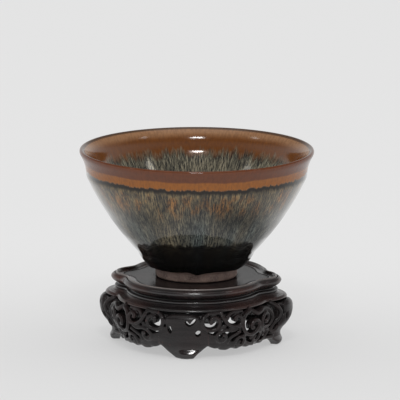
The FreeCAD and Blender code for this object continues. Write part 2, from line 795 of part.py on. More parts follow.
across, along = FreeCAD.Vector(1, 0, 0), FreeCAD.Vector(0, 1, 0)
front_left = mirrored(front_right, "mirrored_front_left", across)
aprons = {
    "apron_front_right": front_right,
    "apron_back_right": mirrored(front_right, "mirrored_back_right", along),
    "apron_back_left": mirrored(front_left, "mirrored_back_left", along),
    "apron_front_left": front_left,
}
for name, apron in aprons.items():
    finish(apron, name)

for number, (across, up) in enumerate(peg_places, start=1):
    peg = doc.addObject("Part::Cylinder", f"peg_{number}")
    peg.setExpression("Radius", (S.peg_diameter / 2).formula)
    peg.setExpression("Height", (S.shoulder_rise + S.waist_rise + S.peg_bite).formula)
    set_place(peg, across, up, S.shoulder_height, FreeCAD.Rotation())
    finish(peg, f"tray_peg_{number}")

doc.recompute()

faults = [f"{item.Label}: {item.State}" for item in doc.Objects
          if "Invalid" in item.State or "Error" in item.State]
for name, piece in finished.items():
    shape = piece.Shape
    if shape.isNull() or not shape.isValid():
        faults.append(f"{name}: no valid shape")
    elif len(shape.Solids) != 1:
        faults.append(f"{name}: {len(shape.Solids)} solids")
if faults:
    raise RuntimeError("; ".join(faults))

os.makedirs("parts", exist_ok=True)
for name, piece in finished.items():
    piece.Shape.exportStep(f"parts/{name}.step")
    box = piece.Shape.BoundBox
    print(f"{name}: {piece.Shape.Volume:.0f} mm3, z {box.ZMin:.2f} to {box.ZMax:.2f}")
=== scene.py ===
"""The looks of the tea bowl on its carved stand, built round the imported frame.

The file is laid out as an add-on and is run as a script. Shapes are worked out in
millimetres and handed over in metres.
"""

import math

import bmesh
import bpy
import numpy as np
from bpy.props import FloatProperty, FloatVectorProperty, PointerProperty
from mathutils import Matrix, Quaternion, Vector


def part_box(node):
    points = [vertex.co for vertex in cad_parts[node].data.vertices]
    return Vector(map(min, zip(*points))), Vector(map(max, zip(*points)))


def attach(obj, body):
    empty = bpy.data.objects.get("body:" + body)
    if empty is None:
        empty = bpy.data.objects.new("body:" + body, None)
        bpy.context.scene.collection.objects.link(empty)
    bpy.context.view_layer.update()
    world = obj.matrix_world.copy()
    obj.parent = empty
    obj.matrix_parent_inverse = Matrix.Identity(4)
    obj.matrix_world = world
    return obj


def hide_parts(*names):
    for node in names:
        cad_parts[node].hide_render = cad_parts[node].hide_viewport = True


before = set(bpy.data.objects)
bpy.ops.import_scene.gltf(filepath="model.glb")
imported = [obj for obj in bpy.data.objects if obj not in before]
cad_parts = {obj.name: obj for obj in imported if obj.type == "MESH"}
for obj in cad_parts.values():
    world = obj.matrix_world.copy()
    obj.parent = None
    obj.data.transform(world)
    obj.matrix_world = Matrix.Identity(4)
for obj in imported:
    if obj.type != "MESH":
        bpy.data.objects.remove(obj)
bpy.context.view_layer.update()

bl_info = {
    "name": "Tea Bowl on Carved Stand",
    "version": (1, 0, 0),
    "blender": (4, 5, 0),
    "location": "View3D > Sidebar > Tea Bowl",
    "description": "Glazes the bowl, carves the stand and lights them",
    "category": "Object",
}

MM = 0.001
TAU = 2 * math.pi
# The photo is taken from this bearing, counted from the front foot to the right
PHOTO_BEARING = math.radians(8.0)
SIDES = ("front", "right", "back", "left")
CORNERS = ("front_right", "back_right", "back_left", "front_left")


def box_mm(node):
    low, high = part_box(node)
    return np.array(low) / MM, np.array(high) / MM


RIM_LOW, RIM_HIGH = box_mm("tray_rim")
FLOOR_HEIGHT = box_mm("tray_panel")[1][2]
TRAY_HEIGHT = RIM_LOW[2]
WAIST_HEIGHT = box_mm("waist")[0][2]
SHOULDER_HEIGHT = box_mm("shoulder")[0][2]
FRONT_REACH, SIDE_REACH = -RIM_LOW[1], RIM_HIGH[0]
BOWL_RADIUS = box_mm("bowl_glaze")[1][0]
# Over the tray's floor: the widest part of the lip, the level from which the glaze's bands
# are counted, and the glaze's lower edge
LIP_HEIGHT, BAND_HEIGHT, GLAZE_FOOT = 65.0, 65.3, 5.2
BAND_LEVEL = (FLOOR_HEIGHT + BAND_HEIGHT) * MM


class BowlSettings(bpy.types.PropertyGroup):
    edge_wave: FloatProperty(
        name="Edge Wave", description="How far the glaze's lower edge runs up and down",
        default=0.55 * MM, unit="LENGTH")
    lip_colour: FloatVectorProperty(
        name="Lip Colour", description="Purplish brown of the thin glaze on the lip",
        default=(0.125, 0.036, 0.012), subtype="COLOR", size=3)
    band_colour: FloatVectorProperty(
        name="Band Colour", description="Orange brown under the lip",
        default=(0.27, 0.088, 0.010), subtype="COLOR", size=3)
    inner_colour: FloatVectorProperty(
        name="Inner Colour", description="Brown of the glaze inside the lip",
        default=(0.17, 0.055, 0.010), subtype="COLOR", size=3)
    ground_colour: FloatVectorProperty(
        name="Ground Colour", description="Dark glaze between the streaks",
        default=(0.014, 0.016, 0.018), subtype="COLOR", size=3)
    streak_colour: FloatVectorProperty(
        name="Streak Colour", description="Pale straw of the streaks",
        default=(0.27, 0.205, 0.11), subtype="COLOR", size=3)
    cool_colour: FloatVectorProperty(
        name="Cool Colour", description="Blue grey that the streaks take lower down",
        default=(0.145, 0.175, 0.165), subtype="COLOR", size=3)
    rust_colour: FloatVectorProperty(
        name="Rust Colour", description="Orange of the patches under the dark line",
        default=(0.38, 0.18, 0.055), subtype="COLOR", size=3)
    clay_colour: FloatVectorProperty(
        name="Clay Colour", description="Reddish grey of the bare stoneware",
        default=(0.235, 0.16, 0.135), subtype="COLOR", size=3)


class StandSettings(bpy.types.PropertyGroup):
    wood_colour: FloatVectorProperty(
        name="Wood Colour", description="Near black of the oiled hardwood",
        default=(0.0075, 0.0056, 0.0058), subtype="COLOR", size=3)
    worn_colour: FloatVectorProperty(
        name="Worn Colour", description="Reddish brown where edges are rubbed",
        default=(0.060, 0.026, 0.024), subtype="COLOR", size=3)
    strand_radius: FloatProperty(
        name="Strand Radius", description="Half the thickness of a carved tendril of size 1",
        default=1.12 * MM, unit="LENGTH")
    wall_depth: FloatProperty(
        name="Wall Depth", description="How deep the openwork is carved behind its face",
        default=3.4 * MM, unit="LENGTH")
    carving_grain: FloatProperty(
        name="Carving Grain", description="Size of the finest step that the carving keeps",
        default=0.33 * MM, unit="LENGTH")


class StageSettings(bpy.types.PropertyGroup):
    view_azimuth: FloatProperty(
        name="View Azimuth", description="Camera's turn round the stand",
        default=PHOTO_BEARING, subtype="ANGLE")
    view_elevation: FloatProperty(
        name="View Elevation", description="Camera's height above the horizon",
        default=math.radians(11.5), subtype="ANGLE")
    view_width: FloatProperty(
        name="View Width", description="Width of the picture at the bowl's axis",
        default=208.3 * MM, unit="LENGTH")
    view_distance: FloatProperty(
        name="View Distance", description="Distance of the camera", default=5.0, unit="LENGTH")
    view_roll: FloatProperty(
        name="View Roll", description="How far the camera leans to its left",
        default=math.radians(0.25), subtype="ANGLE")
    floor_size: FloatProperty(
        name="Floor Size", description="Width of the floor", default=8.0, unit="LENGTH")
    lamp_power: FloatProperty(
        name="Lamp Power", description="Strength of the front soft box", default=2.2,
        unit="POWER")


# Shader nodes

class Nodes:
    """Adds nodes to a tree and links them. A link is given as an output socket."""

    def __init__(self, tree):
        self.tree = tree

    def add(self, kind, inputs=None, **settings):
        node = self.tree.nodes.new(kind)
        for key, value in settings.items():
            setattr(node, key, value)
        for key, value in (inputs or {}).items():
            self.feed(node.inputs[key], value)
        return node

    def feed(self, socket, value):
        if isinstance(value, bpy.types.NodeSocket):
            self.tree.links.new(value, socket)
        elif socket.type == "RGBA" and len(value) == 3:
            socket.default_value = (*value, 1.0)
        else:
            socket.default_value = value

    def math(self, operation, *values):
        node = self.add("ShaderNodeMath", operation=operation)
        for socket, value in zip(node.inputs, values):
            self.feed(socket, value)
        return node.outputs[0]

    def plus(self, first, second):
        return self.math("ADD", first, second)

    def minus(self, first, second):
        return self.math("SUBTRACT", first, second)

    def times(self, first, second):
        return self.math("MULTIPLY", first, second)

    def scaled(self, value, factor, offset):
        return self.math("MULTIPLY_ADD", value, factor, offset)

    def vector(self, operation, *values):
        """Vector arithmetic. SCALE takes a number second, LENGTH and DOT_PRODUCT give one."""
        node = self.add("ShaderNodeVectorMath", operation=operation)
        for index, value in enumerate(values):
            self.feed(node.inputs["Scale" if operation == "SCALE" and index else index], value)
        return node.outputs["Value" if operation in ("LENGTH", "DOT_PRODUCT") else "Vector"]

    def split(self, vector):
        return self.add("ShaderNodeSeparateXYZ", {0: vector}).outputs

    def combined(self, x, y, z):
        return self.add("ShaderNodeCombineXYZ", {0: x, 1: y, 2: z}).outputs[0]

    def place(self):
        """Where a point lies on its piece, in metres."""
        return self.add("ShaderNodeTexCoord").outputs["Object"]

    def group(self, tree, inputs=None):
        return self.add("ShaderNodeGroup", inputs, node_tree=tree).outputs

    def mix(self, factor, first, second, blend="MIX"):
        node = self.add("ShaderNodeMix", data_type="RGBA", blend_type=blend)
        self.feed(node.inputs[0], factor)
        self.feed(node.inputs[6], first)
        self.feed(node.inputs[7], second)
        return node.outputs[2]

    def between(self, value, low, high, to_low=0.0, to_high=1.0, smooth=True):
        node = self.add("ShaderNodeMapRange",
                        interpolation_type="SMOOTHSTEP" if smooth else "LINEAR")
        for index, given in enumerate((value, low, high, to_low, to_high)):
            self.feed(node.inputs[index], given)
        return node.outputs[0]

    def noise(self, vector, scale, detail=2.0, roughness=0.5, distortion=0.0):
        node = self.add("ShaderNodeTexNoise", {
            "Vector": vector, "Scale": scale, "Detail": detail, "Roughness": roughness,
            "Distortion": distortion})
        return node.outputs["Fac"]


def new_material(name):
    """A material and the nodes in it."""
    material = bpy.data.materials.new(name)
    material.use_nodes = True
    return material, Nodes(material.node_tree)


def new_group(name, inputs, outputs):
    """A shader node group with named sockets, given as {name: (type, default)}."""
    tree = bpy.data.node_groups.new(name, "ShaderNodeTree")
    for label, (kind, default) in inputs.items():
        socket = tree.interface.new_socket(label, in_out="INPUT", socket_type=kind)
        if default is not None:
            socket.default_value = default
    for label, kind in outputs.items():
        tree.interface.new_socket(label, in_out="OUTPUT", socket_type=kind)
    nodes = Nodes(tree)
    return nodes, nodes.add("NodeGroupInput").outputs, nodes.add("NodeGroupOutput").inputs


def round_coordinates():
    """Group: the turned piece's coordinates, as a direction, a height and a run."""
    nodes, _, out = new_group(
        "Turned Coordinates", {}, {
            "Direction": "NodeSocketVector", "Height": "NodeSocketFloat",
            "Radius": "NodeSocketFloat", "Run": "NodeSocketFloat"})
    x, y, height = nodes.split(nodes.place())
    flat = nodes.combined(x, y, 0.0)
    radius = nodes.vector("LENGTH", flat)
    nodes.feed(out["Direction"], nodes.vector("NORMALIZE", flat))
    nodes.feed(out["Height"], height)
    nodes.feed(out["Radius"], radius)
    nodes.feed(out["Run"], nodes.plus(radius, height))
    return nodes.tree


def streak_group():
    """Group: streaks that run down a turned piece, as a mask from 0 to 1."""
    nodes, given, out = new_group(
        "Running Streaks",
        {"Direction": ("NodeSocketVector", None), "Run": ("NodeSocketFloat", 0.0),
         "Across": ("NodeSocketFloat", 40.0), "Along": ("NodeSocketFloat", 150.0),
         "Seed": ("NodeSocketFloat", 0.0), "Low": ("NodeSocketFloat", 0.4),
         "High": ("NodeSocketFloat", 0.7)},
        {"Mask": "NodeSocketFloat"})
    across = nodes.vector("SCALE", given["Direction"], given["Across"])
    along = nodes.scaled(given["Run"], given["Along"], given["Seed"])
    spot = nodes.vector("ADD", across, nodes.combined(0.0, 0.0, along))
    grain = nodes.noise(spot, 1.0, 3.0, 0.6)
    nodes.feed(out["Mask"], nodes.between(grain, given["Low"], given["High"]))
    return nodes.tree


def wear_and_painted_shade_group():
    """Group: rubbed edges of carved wood, and how open each point is, from which its recesses get
    painted shade.
    """
    nodes, given, out = new_group(
        "Wear", {"Edge Low": ("NodeSocketFloat", 0.5), "Edge High": ("NodeSocketFloat", 0.6),
                 "Recess": ("NodeSocketFloat", 0.004), "Breakup": ("NodeSocketFloat", 90.0)},
        {"Edge": "NodeSocketFloat", "Open": "NodeSocketFloat"})
    sharp = nodes.add("ShaderNodeNewGeometry").outputs["Pointiness"]
    patch = nodes.noise(nodes.place(), given["Breakup"], 4.0, 0.6)
    edge = nodes.between(sharp, given["Edge Low"], given["Edge High"])
    nodes.feed(out["Edge"], nodes.times(edge, nodes.between(patch, 0.35, 0.65)))
    # Open falls in recesses and between parts. The wood colour is darkened by it as painted shade.
    shade = nodes.add("ShaderNodeAmbientOcclusion", {"Distance": given["Recess"]}, samples=8)
    nodes.feed(out["Open"], nodes.between(shade.outputs["AO"], 0.2, 0.85))
    return nodes.tree


GROUPS = {}


def shared_groups():
    """The shader groups, built once."""
    if not GROUPS:
        GROUPS.update(turned=round_coordinates(), streaks=streak_group(), wear=wear_and_painted_shade_group())
    return GROUPS


def finish_surface(nodes, **inputs):
    shader = nodes.tree.nodes["Principled BSDF"]
    for key, value in inputs.items():
        nodes.feed(shader.inputs[key.replace("_", " ")], value)
    return shader


def bumped(nodes, height, distance, strength=1.0):
    return nodes.add("ShaderNodeBump", {"Height": height, "Distance": distance,
                                        "Strength": strength}).outputs[0]


# Colours in the materials that no setting holds

INNER_STREAK, DARK_FLECK, SHADED_FUR = (0.50, 0.44, 0.30), (0.006, 0.008, 0.010), (0.012, 0.017, 0.021)
FUR_LINE, RIM_LINE = (0.012, 0.008, 0.005), (0.012, 0.008, 0.008)
INNER_LIP_AND_SHEEN, LIP_SPECK = (0.32, 0.165, 0.080), (0.05, 0.018, 0.010)
BURNT_CLAY, PALE_GRIT, DARK_GRIT = (0.085, 0.052, 0.044), (0.30, 0.24, 0.20), (0.028, 0.02, 0.018)
RUDDY_WOOD, HELD_WOOD, CREST_HIGHLIGHT = (0.030, 0.012, 0.011), (0.062, 0.025, 0.019), (0.17, 0.145, 0.135)
DARK_RING, PALE_RING = (0.20, 0.12, 0.06), (0.34, 0.22, 0.12)
FLOOR_WHITE, LIGHT_WHITE = (0.82, 0.82, 0.82), (1.0, 1.0, 1.0)


class GlazeMasks:
    """What the layers of the glaze share: coordinates, streaks and bands under the lip."""

    def __init__(self, nodes, groups):
        turned = nodes.group(groups["turned"])
        self.nodes, self.streak_tree = nodes, groups["streaks"]
        self.direction, self.height, self.run = turned["Direction"], turned["Height"], turned["Run"]
        normal = nodes.add("ShaderNodeTexCoord").outputs["Normal"]
        self.inner = nodes.between(nodes.vector("DOT_PRODUCT", normal, self.direction), 0.1, -0.1)

    def streaks(self, across, along, seed, low, high):
        return self.nodes.group(self.streak_tree, {
            "Direction": self.direction, "Run": self.run, "Across": across, "Along": along,
            "Seed": seed, "Low": low, "High": high})[0]

    def band(self, level, first, last, low=0.0, high=1.0):
        """From low to high between two levels, counted down from the lip in millimetres."""
        return self.nodes.between(level, BAND_LEVEL - first * MM, BAND_LEVEL - last * MM, low, high)


def fur_colour(masks, settings, fur_level):
    """Pale streaks on a dark ground, with a dark line where they begin."""
    nodes, height, inner = masks.nodes, masks.height, masks.inner
    fine = masks.streaks(105.0, 150.0, 0.0, 0.45, 0.60)
    finer = masks.streaks(230.0, 380.0, 7.0, 0.46, 0.60)
    broad = masks.streaks(9.0, 55.0, 21.0, 0.44, 0.62)
    fleck = masks.streaks(120.0, 330.0, 33.0, 0.50, 0.66)
    shade = masks.streaks(7.0, 34.0, 45.0, 0.44, 0.64)
    # Orange patches gather in a belt under the dark line, and blue-grey ones further down.
    belt = nodes.times(masks.band(height, 29, 19), masks.band(height, 11, 15))
    belt = nodes.times(belt, nodes.minus(1.0, inner))
    rust = nodes.times(nodes.scaled(belt, 0.94, 0.06), broad)
    tint = nodes.between(nodes.noise(masks.direction, 2.2, 2.0), 0.35, 0.65, 0.35, 1.0)
    cool = nodes.times(masks.band(height, 14, 34), tint)
    cool = nodes.math("MAXIMUM", cool, nodes.times(inner, 0.5))
    pale = nodes.mix(cool, settings.streak_colour, settings.cool_colour)
    pale = nodes.mix(rust, pale, settings.rust_colour)
    pale = nodes.mix(nodes.times(inner, 0.5), pale, INNER_STREAK)
    fur = nodes.mix(fine, settings.ground_colour, pale)
    fur = nodes.mix(nodes.times(finer, 0.55), fur, pale)
    fur = nodes.mix(nodes.times(fleck, 0.55), fur, DARK_FLECK)
    fur = nodes.mix(nodes.times(shade, 0.42), fur, SHADED_FUR)
    fur = nodes.mix(masks.band(height, 56, 36, 0.75, 0.0), fur, settings.ground_colour)
    line = nodes.times(masks.band(fur_level, 8.0, 8.8), masks.band(fur_level, 11.6, 9.6))
    line = nodes.times(line, nodes.scaled(inner, -0.7, 1.0))
    return nodes.mix(line, fur, FUR_LINE)


def lip_colour(masks, settings, level):
    """Purplish lip over an orange band outside, and inside a paler, greyer colour near the edge that
    is partly painted sheen, with dark specks.
    """
    nodes = masks.nodes
    outside = nodes.mix(masks.band(level, 4.6, 5.6), settings.lip_colour, settings.band_colour)
    # Painted sheen: the inside of the lip is paler and greyer near its edge.
    inside = nodes.mix(masks.band(level, 0.5, 4.0), INNER_LIP_AND_SHEEN, settings.inner_colour)
    lip = nodes.mix(masks.inner, outside, inside)
    speck = masks.streaks(60.0, 300.0, 11.0, 0.35, 0.7)
    return nodes.mix(nodes.times(speck, 0.3), lip, LIP_SPECK)


def glaze_material(settings, groups):
    """Hare's-fur iron glaze: rust lip, orange band, a dark line, then running streaks."""
    material, nodes = new_material("hares_fur_glaze")
    masks = GlazeMasks(nodes, groups)
    height, inner = masks.height, masks.inner
    wander = nodes.noise(masks.direction, 3.0, 3.0)
    level = nodes.minus(nodes.scaled(wander, 2.4 * MM, height), 1.2 * MM)
    drips = nodes.times(masks.streaks(22.0, 60.0, 3.0, 0.2, 0.8),
                        nodes.scaled(inner, 3.0 * MM, 1.6 * MM))
    fur_level = nodes.plus(level, drips)
    soft = nodes.times(inner, 1.8 * MM)
    furry = nodes.between(fur_level, nodes.plus(BAND_LEVEL - 7.9 * MM, soft),
                          nodes.minus(BAND_LEVEL - 8.8 * MM, soft), smooth=False)
    colour = nodes.mix(furry, lip_colour(masks, settings, level),
                       fur_colour(masks, settings, fur_level))
    # The glaze runs off the very edge of the mouth and leaves a dark line.
    edge = masks.band(nodes.scaled(inner, 1.0 * MM, height), -1.3, -1.9)
    colour = nodes.mix(nodes.times(edge, 0.75), colour, RIM_LINE)

    # The streaks are iron crystals, which mirror the room under a clear coat. In a belt low
    # down they are duller, so that the mirrored stand ends in a jagged edge below them.
    jagged = nodes.scaled(drips, 1.3, level)
    dull = nodes.times(masks.band(jagged, 41.6, 40.2), masks.band(height, 29, 36, 0.0, 0.85))
    metal = nodes.times(nodes.scaled(inner, -0.55, 0.85), nodes.minus(1.0, dull))
    ripple = bumped(nodes, nodes.noise(nodes.place(), 420.0, 1.0), 0.06 * MM, 0.4)
    finish_surface(
        nodes, Base_Color=colour, Metallic=nodes.times(furry, metal), Roughness=0.12, IOR=1.5,
        Specular_IOR_Level=0.0, Coat_Weight=1.0, Coat_IOR=1.5,
        Coat_Roughness=nodes.scaled(inner, 0.095, 0.025), Normal=ripple, Coat_Normal=ripple)
    return material


def clay_material(settings, groups):
    """Bare iron-bearing stoneware with throwing lines, grit and burnt patches."""
    material, nodes = new_material("bare_stoneware")
    turned = nodes.group(groups["turned"])
    place = nodes.place()
    run = nodes.plus(turned["Height"], nodes.times(turned["Radius"], 0.6))
    rings = nodes.noise(nodes.combined(0.0, 0.0, run), 1500.0, 2.0)
    grit = nodes.noise(place, 1400.0, 3.0, 0.7)
    patch = nodes.noise(place, 90.0, 3.0, 0.6)
    colour = nodes.mix(nodes.between(patch, 0.35, 0.68), settings.clay_colour, BURNT_CLAY)
    colour = nodes.mix(nodes.between(grit, 0.5, 0.68, 0.0, 0.7), colour, PALE_GRIT)
    colour = nodes.mix(nodes.between(grit, 0.42, 0.30, 0.0, 0.6), colour, DARK_GRIT)
    height = nodes.scaled(rings, 0.7, grit)
    finish_surface(nodes, Base_Color=colour, Roughness=nodes.between(grit, 0.3, 0.7, 0.6, 0.85),
                   IOR=1.45, Normal=bumped(nodes, height, 0.12 * MM, 0.6))
    return material


def wood_material(name, settings, groups, roughness, gloss, wear=1.0, crest=None, patches=0.6,
                  held=0.0):
    """Dark oiled hardwood: pores along the grain, rubbed edges, dull recesses.

    The crest is the height in metres from which the top edge is painted pale as a highlight. Held is
    how reddish the two flanks are, where hands take hold of the stand.
    """
    material, nodes = new_material(name)
    place = nodes.place()
    across, _, level = nodes.split(place)
    grain_place = nodes.add("ShaderNodeMapping", {
        "Vector": place, "Scale": (14, 110, 160)}).outputs[0]
    grain = nodes.noise(grain_place, 6.0, 4.0, 0.6, 0.6)
    pores = nodes.noise(grain_place, 42.0, 3.0, 0.7)
    rubbed = nodes.group(groups["wear"], {
        "Edge Low": 0.51, "Edge High": 0.60, "Recess": 5 * MM, "Breakup": 120.0})
    dark = tuple(settings.wood_colour)
    colour = nodes.mix(nodes.between(grain, 0.38, 0.7), dark, tuple(c * 2.2 for c in dark))
    ruddy = nodes.noise(place, 38.0, 3.0)
    colour = nodes.mix(nodes.between(ruddy, 0.48, 0.70, 0.0, patches), colour, RUDDY_WOOD)
    flank = nodes.between(nodes.math("ABSOLUTE", across), 16 * MM, 30 * MM, 0.0, held)
    flank = nodes.times(flank, nodes.between(ruddy, 0.30, 0.60))
    colour = nodes.mix(flank, colour, HELD_WOOD)
    colour = nodes.mix(nodes.times(rubbed["Edge"], wear), colour, tuple(settings.worn_colour))
    # Painted shade: the colour darkens where a point is less open, in recesses and between parts.
    colour = nodes.mix(1.0, colour, nodes.scaled(rubbed["Open"], 0.65, 0.35), "MULTIPLY")
    rough = nodes.between(pores, 0.35, 0.7, roughness, roughness + 0.12)
    rough = nodes.minus(nodes.plus(rough, 0.25), nodes.times(rubbed["Open"], 0.25))
    # The feet are rubbed smooth by handling.
    foot = nodes.between(level, 8 * MM, 4 * MM)
    rough = nodes.minus(rough, nodes.times(foot, 0.14))
    # Painted highlight: a pale line runs along the top edge above the crest height, in patches.
    if crest:
        bare = nodes.times(nodes.between(level, crest, crest + 0.2 * MM),
                           nodes.between(ruddy, 0.25, 0.6, 0.5, 1.0))
        colour = nodes.mix(bare, colour, CREST_HIGHLIGHT)
    height = nodes.scaled(pores, 0.6, grain)
    finish_surface(nodes, Base_Color=colour, Roughness=rough, IOR=1.5,
                   Specular_IOR_Level=nodes.scaled(foot, 0.4, gloss),
                   Normal=bumped(nodes, height, 0.06 * MM, nodes.scaled(foot, -0.3, 0.35)))
    return material


def peg_material():
    """Paler end grain of the pegs and dowels."""
    material, nodes = new_material("peg_end_grain")
    ring = nodes.noise(nodes.place(), 900.0, 3.0)
    colour = nodes.mix(nodes.between(ring, 0.35, 0.65), DARK_RING, PALE_RING)
    finish_surface(nodes, Base_Color=colour, Roughness=0.6,
                   Normal=bumped(nodes, ring, 0.05 * MM, 0.5))
    return material


# Meshes

def link_piece(name, data):
    piece = bpy.data.objects.new(name, data)
    bpy.context.scene.collection.objects.link(piece)
    return piece


def mesh_piece(name, mesh):
    """An object from an edited mesh, which is freed."""
    data = bpy.data.meshes.new(name)
    mesh.to_mesh(data)
    mesh.free()
    return link_piece(name, data)


def new_piece(name, points, faces, material, smooth=True):
    """A mesh object from points in millimetres."""
    mesh = bpy.data.meshes.new(name)
    mesh.from_pydata((np.asarray(points) * MM).tolist(), [], faces)
    mesh.validate()
    mesh.materials.append(material)
    if smooth:
        mesh.shade_smooth()
    return link_piece(name, mesh)


def ring_faces(rows, columns, closed):
    """Faces between the sections of a ring. The sections may be closed loops too."""
    faces = []
    for row in range(rows):
        for column in range(columns if closed else columns - 1):
            after_row, after_column = (row + 1) % rows, (column + 1) % columns
            faces.append((row * columns + column, row * columns + after_column,
                          after_row * columns + after_column, after_row * columns + column))
    return faces


def arc_points(start, end, radius, side, steps):
    """Points of the minor arc from start up to, but without, its end."""
    start, end = np.array(start, float), np.array(end, float)
    chord = end - start
    length = np.hypot(*chord)
    left = np.array([-chord[1], chord[0]]) / length
    centre = (start + end) / 2 + left * side * math.sqrt(max(radius ** 2 - length ** 2 / 4, 0))
    first = math.atan2(*(start - centre)[::-1])
    last = math.atan2(*(end - centre)[::-1])
    turn = (last - first + math.pi) % TAU - math.pi
    angles = first + turn * np.arange(steps) / steps
    return np.stack([centre[0] + radius * np.cos(angles), centre[1] + radius * np.sin(angles)], 1)


def outline_points(corners, spacing, closed=False):
    """Samples corners (x, y) or (x, y, radius, side), whose edge leaves as an arc."""
    runs = []
    last = len(corners) if closed else len(corners) - 1
    for index in range(last):
        corner, following = corners[index], corners[(index + 1) % len(corners)]
        span = math.dist(corner[:2], following[:2])
        steps = max(2, round(span / spacing))
        if len(corner) > 2:
            runs.append(arc_points(corner[:2], following[:2], corner[2], corner[3], steps))
        else:
            share = np.arange(steps)[:, None] / steps
            runs.append(np.array(corner[:2]) * (1 - share) + np.array(following[:2]) * share)
    if not closed:
        runs.append(np.array([corners[-1][:2]]))
    return np.concatenate(runs)


def softened(points, rounds, closed=False):
    """Rounds the corners of a line by averaging each point with its neighbours."""
    points = points.copy()
    for _ in range(rounds):
        before, after = np.roll(points, 1, 0), np.roll(points, -1, 0)
        mean = (before + points * 2 + after) / 4
        if not closed:
            mean[0], mean[-1] = points[0], points[-1]
        points = mean
    return points


def plain_copy(piece, name):
    """The piece as it looks with its modifiers on, as a plain mesh object."""
    graph = bpy.context.evaluated_depsgraph_get()
    made = link_piece(name, bpy.data.meshes.new_from_object(piece.evaluated_get(graph)))
    bpy.data.objects.remove(piece)
    return made


def seat(piece, node_name, body="stand"):
    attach(piece, body)
    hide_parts(node_name)


# The bowl

def glaze_profile():
    """Outside of the glaze from its lower edge over the rim to the middle of the well."""
    radius = BOWL_RADIUS
    corners = [
        (22.2, 5.5, 3.2, 1), (26.5, 7.8, 9.0, 1), (30.3, 13.2, 145.0, 1), (57.6, 53.6, 4.0, 1),
        (57.1, 56.6, 40.0, -1), (radius - 0.05, 65.2, 3.2, 1), (radius - 0.35, 66.6, 0.8, 1),
        (radius - 1.9, 66.7, 14.0, 1), (54.6, 60.4, 40.0, -1), (53.0, 55.5, 117.0, -1),
        (15.0, 14.2, 60.0, -1), (0.0, 12.6)]
    points = softened(outline_points(corners, 0.9), 2)
    # The groove under the lip is soft.
    outside = np.arange(len(points)) < np.argmax(points[:, 0])
    near = (outside * np.exp(-((points[:, 1] - 57.6) / 4.2) ** 4))[:, None]
    return points * (1 - near) + softened(points, 10) * near + (0.0, FLOOR_HEIGHT)


def clay_profile():
    """The bare foot from the middle of its hollow round to where the glaze covers it."""
    corners = [(0.0, 3.6), (15.6, 3.6), (16.2, 3.0), (16.4, 0.4), (16.8, 0.0), (20.5, 0.0),
               (21.2, 0.6), (21.3, 4.6), (22.0, 5.3), (25.2, 7.8), (25.0, 9.4), (0.0, 9.4)]
    return softened(outline_points(corners, 0.4), 2) + (0.0, FLOOR_HEIGHT)


def turned_piece(name, profile, material, wave=0.0):
    """Turns a profile round the bowl's axis.

    With a wave, the glaze's lower edge runs up and down by it and has a drip in front.
    """
    count, drip_length, drip_width, fade, unevenness = 512, 0.9, 0.10, 2.2, 0.18
    angles = np.arange(count) / count * TAU
    radii, heights = profile[:, 0], profile[:, 1]
    rng = np.random.default_rng(11)
    ripple = sum(rng.uniform(0.3, 1.0) * np.sin(angles * wave_count + rng.uniform(0, TAU))
                 for wave_count in (2, 3, 5, 7, 9, 13)) / 2.6
    gap = (angles - (PHOTO_BEARING - math.pi / 2) + math.pi) % TAU - math.pi
    drip = drip_length * np.exp(-(gap / drip_width) ** 2)
    over_floor = heights - FLOOR_HEIGHT
    reach = np.exp(-np.clip(over_floor - GLAZE_FOOT, 0, None) / fade) * bool(wave)
    reach[np.argmax(heights):] = 0.0
    shift = (ripple * wave - drip)[:, None] * reach
    # The mouth is a little oval and leans, as a thrown bowl's does.
    lean = (np.sin(angles * 2 + 0.6) * unevenness)[:, None] * np.clip(
        over_floor / LIP_HEIGHT, 0, 1)
    radius = radii * (1 + lean / BOWL_RADIUS)
    level = heights + shift + lean * 0.4
    points = np.stack([radius * np.cos(angles)[:, None], radius * np.sin(angles)[:, None],
                       level], -1).reshape(-1, 3)
    return closed_piece(new_piece(name, points, ring_faces(count, len(profile), False), material))


def closed_piece(piece):
    """Joins the points that meet on the axis and closes what is still open."""
    mesh = bmesh.new()
    mesh.from_mesh(piece.data)
    bmesh.ops.remove_doubles(mesh, verts=mesh.verts, dist=0.002 * MM)
    rim = [edge for edge in mesh.edges if edge.is_boundary]
    if rim:
        bmesh.ops.holes_fill(mesh, edges=rim, sides=0)
    bmesh.ops.recalc_face_normals(mesh, faces=mesh.faces)
    mesh.to_mesh(piece.data)
    mesh.free()
    piece.data.shade_smooth()
    return piece


class OBJECT_OT_throw_bowl(bpy.types.Operator):
    """Throw the stoneware bowl and coat it with its running iron glaze"""
    bl_idname = "object.throw_bowl"
    bl_label = "Throw Bowl"
    bl_options = {"REGISTER"}

    def execute(self, context):
        settings = context.scene.tea_bowl
        groups = shared_groups()
        glaze = turned_piece("hares_fur_glaze", glaze_profile(), glaze_material(settings, groups),
                             settings.edge_wave / MM)
        clay = turned_piece("stoneware_body", clay_profile(), clay_material(settings, groups))
        seat(glaze, "bowl_glaze", "bowl")
        seat(clay, "bowl_body", "bowl")
        return {"FINISHED"}


# Plan of the stand: four lobes joined by concave notches

FRONT_LOBE, SIDE_LOBE, NOTCH = 36.9, 15.0, 8.0
# How far the neck and the tray's frame reach in from the plan, and the shoulder out of it
NECK_INSET, FRAME_WIDTH, SHOULDER_OVERHANG = 3.9, 6.5, 2.9


